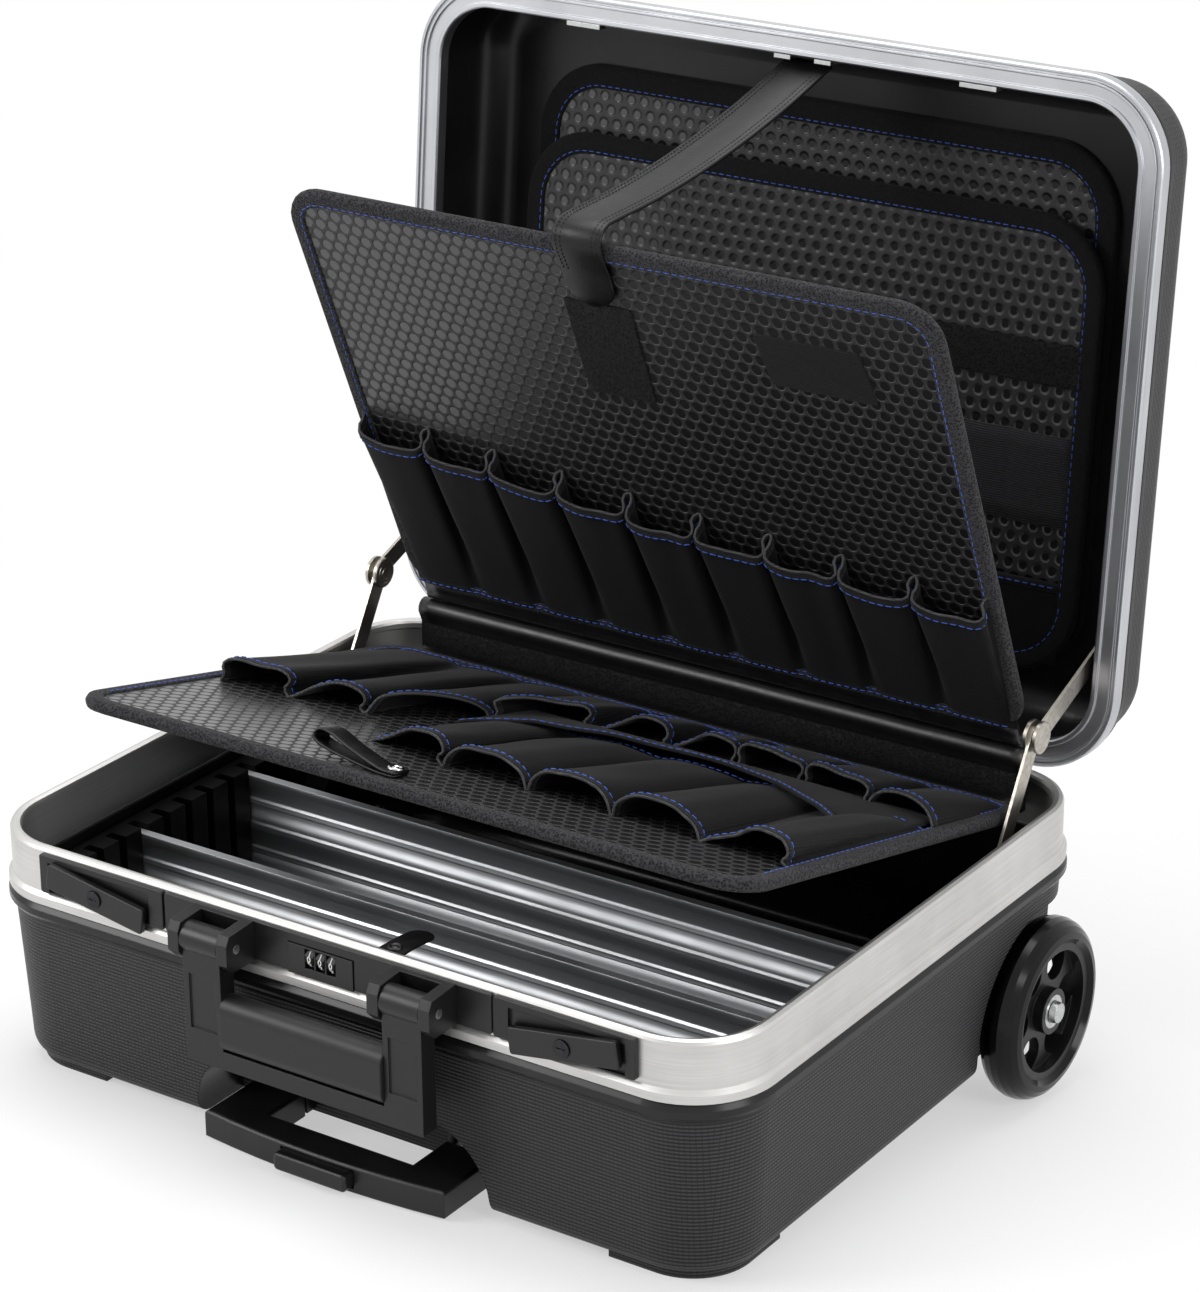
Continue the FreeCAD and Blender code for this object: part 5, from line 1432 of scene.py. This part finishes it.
@dataclass
class LeatherBand:
    """A band of leather along a line, with sewn edges and a round or square end."""

    name: str
    wide: float
    thick: float
    inset: float = 3.0
    rows_apart: float = 3.4
    tip_radius: float = 0.46

    def rings(self, line: Array, out: Array, tip: bool) -> list[Array]:
        """Gives the sections of the band.

        Args:
            line: points of its middle line.
            out: its outward direction at each point.
            tip: whether its last end is round.

        Returns:
            A ring of points for each point of the line.
        """
        across, out = square_to(line, out)
        runs = runs_along(line)
        half = np.full(len(line), self.wide / 2)
        if tip:
            near = np.clip(1 - (runs[-1] - runs) / (self.wide * self.tip_radius), 0, 1)
            half = half * np.sqrt(np.maximum(1 - near ** 2.2, 0.03))
        made = []
        for i in range(len(line)):
            section = np.array(flat_oval(2 * half[i], min(self.thick, 1.6 * half[i])))
            made.append(line[i] + np.outer(section[:, 0], across[i]) + np.outer(section[:, 1], out[i]))
        return made

    def build(self, line: Array, out: Array, place: Matrix, body: str, tip: bool = False) -> Piece:
        """Builds the band.

        Args:
            line: points of its middle line.
            out: its outward direction at each point.
            place: the local frame.
            body: the CAD body that carries it.
            tip: whether its last end is round.

        Returns:
            The band.
        """
        parts = MeshParts()
        parts.rings(self.rings(line, out, tip))
        return parts.piece(self.name, LEATHER, place, body)

    def stitches(self, line: Array, out: Array) -> MeshParts:
        """Gives two rows of black stitches along each edge, on the outer face.

        Args:
            line: points of the band's middle line.
            out: its outward direction at each point.

        Returns:
            The mesh of the stitches.
        """
        parts = MeshParts()
        across = np.cross(directions(line), out)
        sewing = Stitching(dash=2.1, pitch=3.0, wide=0.9, high=0.55)
        for side in (-1, 1):
            for inset in (self.inset, self.inset + self.rows_apart):
                row = line + across * side * (self.wide / 2 - inset) + out * (self.thick / 2 - 0.1)
                sewing.sew(parts, row, out)
        return parts


@dataclass
class LidStrap:
    """The leather strap from the lid's clips to the free edge of the upper board."""

    wide: float = 36.0
    thick: float = 2.5
    anchor: tuple[float, float, float] = (20.0, -201.45, 173.0)
    board_x: float = -8.0
    board_end: float = 350.0
    above: float = 4.35
    tip_length: float = 46.0
    sag: float = 18.0
    unsewn_points: int = 12

    def on_board(self, along: float, rise: float) -> Array:
        """Gives a point over the upper board in the row frame, in millimetres."""
        return np.array(PLACES.upper() @ (Vector((self.board_x, along, rise)) * MM)) / MM

    def line(self) -> tuple[Array, Array]:
        """Gives the strap's middle line in the row frame, in millimetres, and its outward directions.

        Returns:
            The points and the directions.
        """
        start = np.array(PLACES.lid() @ (Vector(self.anchor) * MM)) / MM
        end = self.board_end
        near = self.on_board(end + 9.0, -12.0)
        # The free part hangs in an arc, then the strap bends over the board's edge and lies on it.
        middle = (start + near) / 2 - (0, 0, self.sag)
        share = np.linspace(0, 1, 26)[:, None]
        free = start * (1 - share) ** 2 + middle * 2 * share * (1 - share) + near * share ** 2
        bend = [self.on_board(end + past, rise)
                for past, rise in ((10.5, -5.0), (8.5, 2.5), (2.0, 6.6), (-8.0, 6.4))]
        lying = [self.on_board(s, self.above + 0.6) for s in np.linspace(end - 20, end - self.tip_length, 5)]
        whole = resample(smooth_line(np.concatenate([free[::5], bend, lying]), steps=14), step=2.2)
        for _ in range(4):
            whole[1:-1] = (whole[:-2] + 2 * whole[1:-1] + whole[2:]) / 4
        return whole, unit(np.cross(directions(whole), everywhere((1.0, 0.0, 0.0), whole)))

    def build(self) -> None:
        """Builds the strap and its stitches, and takes them off the lid's body where they lie."""
        line, out = self.line()
        band = LeatherBand("lid_strap", self.wide, self.thick)
        piece = band.build(line, out, Matrix(), "lid", tip=True)
        stitches = band.stitches(line[:-self.unsewn_points], out[:-self.unsewn_points])
        sewn = stitches.piece("lid_strap_stitches", THREAD_BLACK, Matrix(), "lid")
        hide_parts("strap", "strap_tip")
        end = PLACES.upper() @ (Vector((self.board_x, self.board_end, 0)) * MM)
        for item in (piece, sewn):
            item.parent = None
            item.matrix_world = Matrix()
            del item["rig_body"]
            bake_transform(item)


@dataclass
class Spine:
    """The leatherette back of the folding boards: a roll on top, a smooth upright, a strip of hook tape."""

    half: float = 236.0
    front: float = 195.0
    thick: float = 7.0
    low: float = 138.0
    high: float = 175.0
    roll: float = 7.0
    foot_low: float = 142.0
    foot_high: float = 150.0
    wall: float = 216.0
    foot_half: float = 223.0
    uneven: float = 0.35

    def build(self) -> None:
        """Builds the spine in place of its CAD node."""
        place = PLACES.stance()
        back = self.front + self.thick
        centre = self.front + self.thick / 2
        section = [(self.front, self.low + 1.5), (self.front + 1.5, self.low), (back, self.low),
                   (back, self.high - 8)]
        section += [(centre + self.roll * math.sin(a), self.high + self.roll * math.cos(a))
                    for a in map(math.radians, range(125, -126, -25))]
        section += [(self.front, self.high - 9), (self.front, self.low + 14)]
        parts = MeshParts()
        rings = []
        for x in np.linspace(-self.half, self.half, 60):
            wave = self.uneven * noise.noise(Vector((x * 0.02, 1.3, 0.2)))
            rings.append(np.array([(x, y + wave, z + wave) for y, z in section]))
        parts.rings(rings)
        roll = parts.piece("spine_roll", LEATHERETTE, place, "base")
        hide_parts("spine")
        foot = MeshParts()
        section = [(back - 1, self.foot_low), (self.wall, self.foot_low), (self.wall, self.foot_high),
                   (back - 1, self.foot_high)]
        foot.rings([np.array([(x, y, z) for y, z in section]) for x in (-self.foot_half, self.foot_half)])
        foot.piece("spine_foot", LEATHERETTE, place, "base", smooth=False)
        tape = MeshParts()
        section = [(self.front - out, z) for out, z in ((0.0, self.low + 9), (1.4, self.low + 10),
                                                        (1.4, self.high - 11), (0.0, self.high - 10))]
        tape.rings([np.array([(x, y, z) for y, z in section])
                    for x in np.linspace(-self.half + 4, self.half - 4, 30)])
        tape.piece("spine_hook_tape", HOOK, place, "base")


@dataclass
class RingStud:
    """A press stud: a rolled metal ring with a dished middle."""

    name: str
    radius: float
    finish: Finish = CHROME

    def build(self, spot: Sequence[float], out: Sequence[float], place: Matrix, body: str) -> Piece:
        """Builds the stud.

        Args:
            spot: the middle of its foot.
            out: the way it stands.
            place: the local frame.
            body: the CAD body that carries it.

        Returns:
            The stud.
        """
        r = self.radius
        profile = ((r, 0.0), (r * 1.04, 0.6), (r * 0.98, 1.5), (r * 0.84, 1.9), (r * 0.68, 1.7),
                   (r * 0.56, 1.0), (r * 0.5, 0.9), (r * 0.42, 1.5), (r * 0.2, 1.7), (0.05, 1.75))
        axis = Vector(out)
        side = axis.orthogonal().normalized()
        other = axis.cross(side)
        turns = np.linspace(0, 2 * math.pi, 28, endpoint=False)
        parts = MeshParts()
        parts.rings([np.array([Vector(spot) + axis * rise + (side * math.cos(a) + other * math.sin(a)) * reach
                               for a in turns]) for reach, rise in profile])
        return parts.piece(self.name, self.finish, place, body)


@dataclass
class PullLoop:
    """The leather pull loop on the lower board, held by a chromed stud."""

    left: float = -78.0
    right: float = -10.0
    start: float = 322.0
    wide: float = 16.0
    rise: float = 14.0
    thick: float = 1.9
    board: float = 2.5

    def build(self) -> None:
        """Builds the loop and its stud in place of the CAD node."""
        place = PLACES.lower()
        middle = self.start + self.wide / 2
        top = -self.board - self.rise + 1.2
        left, right, face = self.left, self.right, -self.board
        knots = [(right, middle, face - 1.1), (right - 12, middle, face - 1.2),
                 (right - 34, middle - 2, face - 3.2), (left + 12, middle - 5, face - 6.0),
                 (left + 2, middle - 7, face - 9.4), (left + 4, middle - 8, top - 2.4),
                 (left + 14, middle - 7, top - 2.0), (right - 38, middle - 4, top + 2.8),
                 (right - 20, middle - 1, face - 5.6), (right - 9, middle, face - 3.2),
                 (right + 1, middle, face - 3.0)]
        line = resample(smooth_line(knots), step=1.6)
        out = unit(np.cross(directions(line), everywhere((0.0, 1.0, 0.0), line)))
        band = LeatherBand("pull_loop_band", self.wide, self.thick)
        piece = band.build(line, out, place, "lower_board")
        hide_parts("pull_loop")
        stud = RingStud("pull_loop_stud", radius=5.0)
        stud.build((right - 4, middle, face - 3.9), (0, 0, -1), place, "lower_board")


@dataclass
class KneeRivets:
    """The wide stepped rivet heads on both faces of each lid stay's knee."""

    outside: float = 260.3
    inside: float = 252.0
    back: float = 175.0
    rise: float = 204.0

    def head(self, name: str, body: str, face: float, out: int, profile: Pairs) -> None:
        """Builds one head.

        Args:
            name: its name.
            body: the link that carries it.
            face: where the link's face lies across the case.
            out: the way it stands, 1 or -1.
            profile: pairs of radius and height.
        """
        turns = np.linspace(0, 2 * math.pi, 36, endpoint=False)
        parts = MeshParts()
        parts.rings([np.array([(face + out * high, self.back + reach * math.cos(a),
                                self.rise + out * reach * math.sin(a)) for a in turns])
                     for reach, high in profile])
        parts.piece(name, NICKEL, PLACES.stance(), body, smooth=False)

    def build(self) -> None:
        """Builds a flat head outside, which clears the lid, and a stepped one inside."""
        flat = ((10.2, -0.1), (10.2, 0.2), (9.7, 0.45), (5.0, 0.5), (4.6, 0.8), (3.4, 0.95), (0.05, 1.0))
        stepped = ((10.2, -0.1), (10.2, 0.5), (9.6, 0.8), (7.2, 0.9), (6.8, 1.2), (4.2, 1.25), (3.8, 1.7),
                   (0.05, 1.8))
        for side, name in ((-1, "left"), (1, "right")):
            self.head("knee_rivet_outer_" + name, "stay_upper_" + name, side * self.outside, side, flat)
            self.head("knee_rivet_inner_" + name, "stay_lower_" + name, side * self.inside, -side, stepped)


@dataclass
class ClosingTab:
    """The leather tab inside the front rim, with its press stud."""

    x: float = 35.0
    wide: float = 18.0
    near: float = -216.0
    length: float = 50.0
    rise: float = 151.0
    thick: float = 1.8

    def build(self) -> None:
        """Builds the tab in place of its CAD node."""
        place = PLACES.stance()
        run = ((0.4, -5), (2.0, 0.2), (12, 1.2), (30, 0.6), (self.length, -1.6))
        knots = [(self.x, self.near + inward, self.rise + up) for inward, up in run]
        line = resample(smooth_line(knots), step=1.4)
        out = unit(np.cross(everywhere((1.0, 0.0, 0.0), line), directions(line)))
        band = LeatherBand("closing_tab_band", self.wide, self.thick)
        piece = band.build(line, out, place, "base", tip=True)
        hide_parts("closing_tab")
        stud = RingStud("closing_tab_stud", radius=4.6, finish=FITTING)
        stud.build((self.x, self.near + 18, self.rise + 1.6), (0, 0, 1), place, "base")


@dataclass
class DialDigits:
    """White digits round each number wheel."""

    centre_x: float = -2.0
    pitch: float = 8.0
    radius: float = 5.76
    back: float = -217.5
    rise: float = 143.0
    size: float = 5.3
    bolder: float = 0.12
    wider: float = 1.02
    raised: float = 0.05

    def build(self) -> None:
        """Builds the digits of the three dials."""
        place = PLACES.stance()
        for column, body in ((-1, "dial_left"), (0, "dial_middle"), (1, "dial_right")):
            parts = MeshParts()
            for digit in range(10):
                curve = bpy.data.curves.new("digit", "FONT")
                curve.body = str(digit)
                curve.size = self.size
                curve.align_x = curve.align_y = "CENTER"
                curve.extrude = self.raised
                curve.offset = self.bolder
                holder = bpy.data.objects.new("digit", curve)
                mesh = bpy.data.meshes.new_from_object(holder)
                flat = np.array([v.co for v in mesh.vertices])
                angle = math.radians(360 / 10 * digit)
                x = self.centre_x + column * self.pitch + flat[:, 0] * self.wider
                out = self.radius + flat[:, 2]
                y = self.back - out * math.cos(angle) + flat[:, 1] * math.sin(angle)
                z = self.rise + out * math.sin(angle) + flat[:, 1] * math.cos(angle)
                parts.add(np.stack([x, y, z], axis=1), [tuple(p.vertices) for p in mesh.polygons])
                bpy.data.objects.remove(holder)
                bpy.data.curves.remove(curve)
                bpy.data.meshes.remove(mesh)
            parts.piece(body + "_digits", INK, place, body, smooth=False)


@dataclass
class Hardware:
    """The rigid pieces of the model, each with the finish of its real material."""

    def dress(self) -> None:
        """Gives every rigid node its finish."""
        groups: list[tuple[Finish, tuple[str, ...]]] = [
            (SHELL_BASE, ("base_shell",)), (SHELL_LID, ("lid_shell",)),
            (FRAME_METAL, ("base_frame",)), (FRAME_LID, ("lid_frame",)),
            (DIVIDER_METAL, ("divider_front", "divider_rear")),
            (TUBE_METAL, ("trolley_outer_tubes", "trolley_middle_tubes", "trolley_inner_tubes")),
            (FITTING, ("front_plate", "handle_brackets", "lock_body", "latch_plates", "latch_lever_left",
                       "latch_lever_right", "handle_frame", "trolley_guides", "trolley_cover")),
            (RAIL, ("divider_rails",)),
            (BOW, ("trolley_bow", "trolley_button")), (HUB, ("hub_left", "hub_right")),
            (DIAL, ("dial_left", "dial_middle", "dial_right")), (GRIP, ("handle_grip",)),
            (TYRE, ("tyre_left", "tyre_right")),
            (ZINC, ("handle_pins", "hinge_leaf_base", "hinge_leaf_lid", "hinge_pin", "axle_bolts",
                    "bearings_left", "bearings_right", "latch_strikes", "strap_clips")),
            (KEY, ("key_cylinder_left", "key_cylinder_right")),
            (NICKEL, ("stay_rivets_base", "stay_rivets_lid", "stay_lower_left", "stay_lower_right",
                      "stay_upper_left", "stay_upper_right"))]
        for finish, names in groups:
            for name in names:
                node = frame["nodes"][name]
                node.data.materials.clear()
                node.data.materials.append(finish.make())
                log.info("node %s: %s", name, finish.name)


@dataclass
class UpperBoard:
    """The upper tool board with its nine pockets and patches."""

    half: float = 240.0
    start: float = 8.0
    length: float = 350.0
    corner: float = 28.0
    thickness: float = 5.0

    def build(self) -> None:
        """Builds the board, its pockets and its patches."""
        place = PLACES.upper()
        body = "upper_board"
        BoundPanel("upper_panel", body, place, x0=-self.half, x1=self.half, y0=self.start, y1=self.length,
                   level=0.0, thickness=self.thickness, corner=self.corner, finish=SHEET).build("upper_board")
        HingeStrip("upper_hinge_strip", body, place).build()
        mouths = ((-239, 166), (-182, 161), (-128, 155), (-68, 149), (-17, 143), (34, 139), (239, 124))
        PocketRow("upper_pockets", body, place, shapes=(MouthShape.BOX,) * 9, left=-234, right=234, start=12,
                  mouth_line=mouths, facing=Facing.FRONT, bulge=14.0, dip=11.0).build("upper_pockets")
        face = self.thickness / 2
        patch = SewnPatch("strap_hook_patch", body, place, x0=-33, x1=17, y0=229, y1=304, level=face, out=1,
                          thickness=1.2, finish=HOOK).build()
        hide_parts("board_patches")
        SewnPatch("elastic_tab", body, place, x0=108, x1=182, y0=267, y1=305, level=face, out=1,
                  thickness=1.6, finish=ELASTIC, slant=-6.0).build()


@dataclass
class LowerBoard:
    """The lower tool board with two rows of pockets and a pull loop."""

    half: float = 250.0
    start: float = 8.0
    length: float = 356.0
    corner: float = 28.0
    thickness: float = 5.0

    def build(self) -> None:
        """Builds the board, its pockets and its loop."""
        place = PLACES.lower()
        body = "lower_board"
        BoundPanel("lower_panel", body, place, x0=-self.half, x1=self.half, y0=self.start, y1=self.length,
                   level=0.0, thickness=self.thickness, corner=self.corner, finish=SHEET,
                   bare_end=True).build("lower_board")
        HingeStrip("lower_hinge_strip", body, place).build()
        box, ramp, arch = MouthShape.BOX, MouthShape.RAMP, MouthShape.ARCH
        rear = ((-242, 226), (-197, 224), (-167, 218), (-113, 206), (-76, 146), (-40, 112), (13, 95),
                (71, 95), (140, 103), (242, 122))
        shapes = (box, ramp, arch, box, ramp, ramp, box, box, arch)
        PocketRow("rear_pockets", body, place, shapes=shapes, left=-232, right=242, start=24, mouth_line=rear,
                  facing=Facing.TOP, bulge=15.2, crumple=1.6, dip=1.0, lean=0.6).build("lower_pockets_rear")
        front = ((-78, 268), (-11, 281), (43, 281), (111, 285), (174, 287), (242, 293))
        PocketRow("front_pockets", body, place, shapes=(ramp, arch, arch, arch, ramp), left=-78, right=240,
                  start=128, mouth_line=front, facing=Facing.TOP, bulge=16.5, across=32, crumple=1.8, dip=1.0,
                  lean=0.6).build("lower_pockets_front")
        flap = ((-76, 178), (-52, 167), (-16, 152), (42, 136), (118, 139), (194, 178), (236, 214))
        BoundFlap("cover_flap", body, place, sewn_at=96.0, free_line=flap, level=-4.6, out=-1,
                  rise=8.0).build()
        PullLoop().build()


@dataclass
class DocumentPanel:
    """The two-layer document panel in the lid, with hook tape, elastic loops and a small pocket."""

    half: float = 222.0
    top: float = -168.0
    lower_top: float = -123.0
    bottom: float = 182.0
    back_level: float = 226.9
    front_level: float = 214.9
    thickness: float = 4.0
    corner: float = 50.0

    def build(self) -> None:
        """Builds both layers and what is sewn to them."""
        place = PLACES.lid()
        layers = (("document_back", "organiser_back", self.top, self.back_level, 15.0),
                  ("document_front", "organiser_front", self.lower_top, self.front_level, 13.0))
        for name, replaced, top, level, binding_width in layers:
            BoundPanel(name, "lid", place, x0=-self.half, x1=self.half, y0=top, y1=self.bottom, level=level,
                       thickness=self.thickness, corner=self.corner, finish=SHEET_LID,
                       binding_width=binding_width, edging=EDGING).build(replaced)
        face = self.front_level - self.thickness / 2
        tape = SewnPatch("document_hook_tape", "lid", place, x0=102, x1=212, y0=-40, y1=-12, level=face,
                         out=-1, thickness=1.8, finish=HOOK).build()
        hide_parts("organiser_bands")
        ElasticLoops().build()
        mouth = ((-206, 120), (-100, 119), (0, 118), (100, 119), (210, 120))
        BoundFlap("document_pocket", "lid", place, sewn_at=172.0, free_line=mouth, level=face - 0.6, out=-1,
                  rise=4.4).build()


@dataclass
class Studio:
    """White floor and surroundings, soft lamps, and the camera at the photograph's place."""

    turn: float = 0.598178719
    drop: float = 0.393496720
    roll: float = -0.00719678443
    away: float = 2480.5359
    target: tuple[float, float, float] = (31.7579, 21.8268, 267.2770)
    focal_pixels: float = 4020.19863
    long_side: float = 1292.0
    sensor: float = 36.0
    floor_reach: float = 12.0
    fade_from: float = 0.45
    fade_to: float = 1.1
    least_glow: float = 0.5
    front_light: float = 0.3

    def camera(self) -> None:
        """Places the camera as the photograph's, in the frame of the level case."""
        turn, drop, roll = self.turn, self.drop, self.roll
        level = math.cos(drop)
        forward = Vector((-math.sin(turn) * level, math.cos(turn) * level, -math.sin(drop)))
        right = Vector((math.cos(turn), math.sin(turn), 0))
        up = right.cross(forward)
        across = right * math.cos(roll) + up * math.sin(roll)
        upward = up * math.cos(roll) - right * math.sin(roll)
        pose = Matrix((across, upward, -forward)).transposed().to_4x4()
        pose.translation = (Vector(self.target) - forward * self.away) * MM
        data = bpy.data.cameras.new("camera")
        data.sensor_width = self.sensor
        data.lens = self.focal_pixels / self.long_side * self.sensor
        data.clip_end = 50.0
        holder = bpy.data.objects.new("camera", data)
        bpy.context.scene.collection.objects.link(holder)
        holder.matrix_world = PLACES.stance() @ pose
        bpy.context.scene.camera = holder

    def seen(self, tree: Tree) -> Socket:
        """Tells what is looked at, also in a mirror or through glass, from what only gives light.

        Args:
            tree: the node tree.

        Returns:
            The socket that is 1 where it is looked at.
        """
        rays = add_node(tree, "LightPath").outputs
        direct = reckon(tree, "MAXIMUM", rays["Is Camera Ray"], rays["Is Glossy Ray"])
        return reckon(tree, "MAXIMUM", direct, rays["Is Transmission Ray"])

    def floor(self) -> None:
        """Lays the white floor, which fades into the white surroundings."""
        material = bpy.data.materials.new("paper_white_floor")
        material.use_nodes = True
        tree = material.node_tree
        tree.nodes.clear()
        spot = add_node(tree, "TexCoord").outputs["Object"]
        fade = stretch(tree, reckon_vector(tree, "LENGTH", spot), self.fade_from, self.fade_to,
                       interpolation_type="SMOOTHSTEP")
        bright = reckon(tree, "MAXIMUM", fade, self.least_glow)
        share = reckon(tree, "MULTIPLY", bright, self.seen(tree))
        paper = add_node(tree, "BsdfDiffuse", {"Color": linear("f6f6f6")}).outputs[0]
        glow = add_node(tree, "Emission", {"Color": linear("ffffff"), "Strength": 1.0}).outputs[0]
        mixed = add_node(tree, "MixShader", {0: share, 1: paper, 2: glow}).outputs[0]
        add_node(tree, "OutputMaterial", {"Surface": mixed})
        reach = self.floor_reach
        mesh = bpy.data.meshes.new("floor")
        mesh.from_pydata([(-reach, -reach, 0), (reach, -reach, 0), (reach, reach, 0), (-reach, reach, 0)], [],
                         [(0, 1, 2, 3)])
        mesh.materials.append(material)
        floor = bpy.data.objects.new("floor", mesh)
        bpy.context.scene.collection.objects.link(floor)

    def world(self) -> None:
        """Makes the surroundings white to the eye and to reflections, and softer as a light."""
        world = bpy.data.worlds.new("studio")
        world.use_nodes = True
        tree = world.node_tree
        tree.nodes.clear()
        way = add_node(tree, "SeparateXYZ", {0: add_node(tree, "TexCoord").outputs["Generated"]}).outputs
        room = stretch(tree, way[1], low=-0.1, high=0.6, least=self.front_light)
        strength = reckon(tree, "MAXIMUM", room, self.seen(tree))
        glow = add_node(tree, "Background", {"Color": linear("ffffff"), "Strength": strength}).outputs[0]
        add_node(tree, "OutputWorld", {"Surface": glow})
        bpy.context.scene.world = world

    def lamp(self, name: str, spot: Sequence[float], aim: Sequence[float], size: float, power: float) -> None:
        """Hangs a square soft lamp.

        Args:
            name: its name.
            spot: where it hangs, in metres.
            aim: the point it faces.
            size: its side, in metres.
            power: its power, in watts.
        """
        data = bpy.data.lights.new(name, "AREA")
        data.size = size
        data.energy = power
        holder = bpy.data.objects.new(name, data)
        bpy.context.scene.collection.objects.link(holder)
        holder.location = spot
        holder.rotation_mode = "QUATERNION"
        holder.rotation_quaternion = (Vector(aim) - Vector(spot)).to_track_quat("-Z", "Y")

    def build(self) -> None:
        """Builds the stage, the lamps and the camera."""
        bpy.context.scene.view_settings.view_transform = "Standard"
        self.camera()
        self.floor()
        self.world()
        self.lamp("top_lamp", spot=(-0.3, 0.1, 2.4), aim=(0, 0, 0.2), size=1.6, power=33)
        self.lamp("left_lamp", spot=(-1.7, -1.9, 1.5), aim=(0, 0, 0.25), size=1.2, power=32)
        self.lamp("right_lamp", spot=(2.2, -0.5, 1.2), aim=(0, 0.1, 0.25), size=1.1, power=19)


def main() -> None:
    """Builds the looks of the case in order."""
    logging.basicConfig(level=logging.INFO, format="%(message)s")
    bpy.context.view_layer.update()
    Studio().build()
    Hardware().dress()
    UpperBoard().build()
    LowerBoard().build()
    DocumentPanel().build()
    LidStrap().build()
    Spine().build()
    ClosingTab().build()
    KneeRivets().build()
    DialDigits().build()


if __name__ == "__main__":
    main()
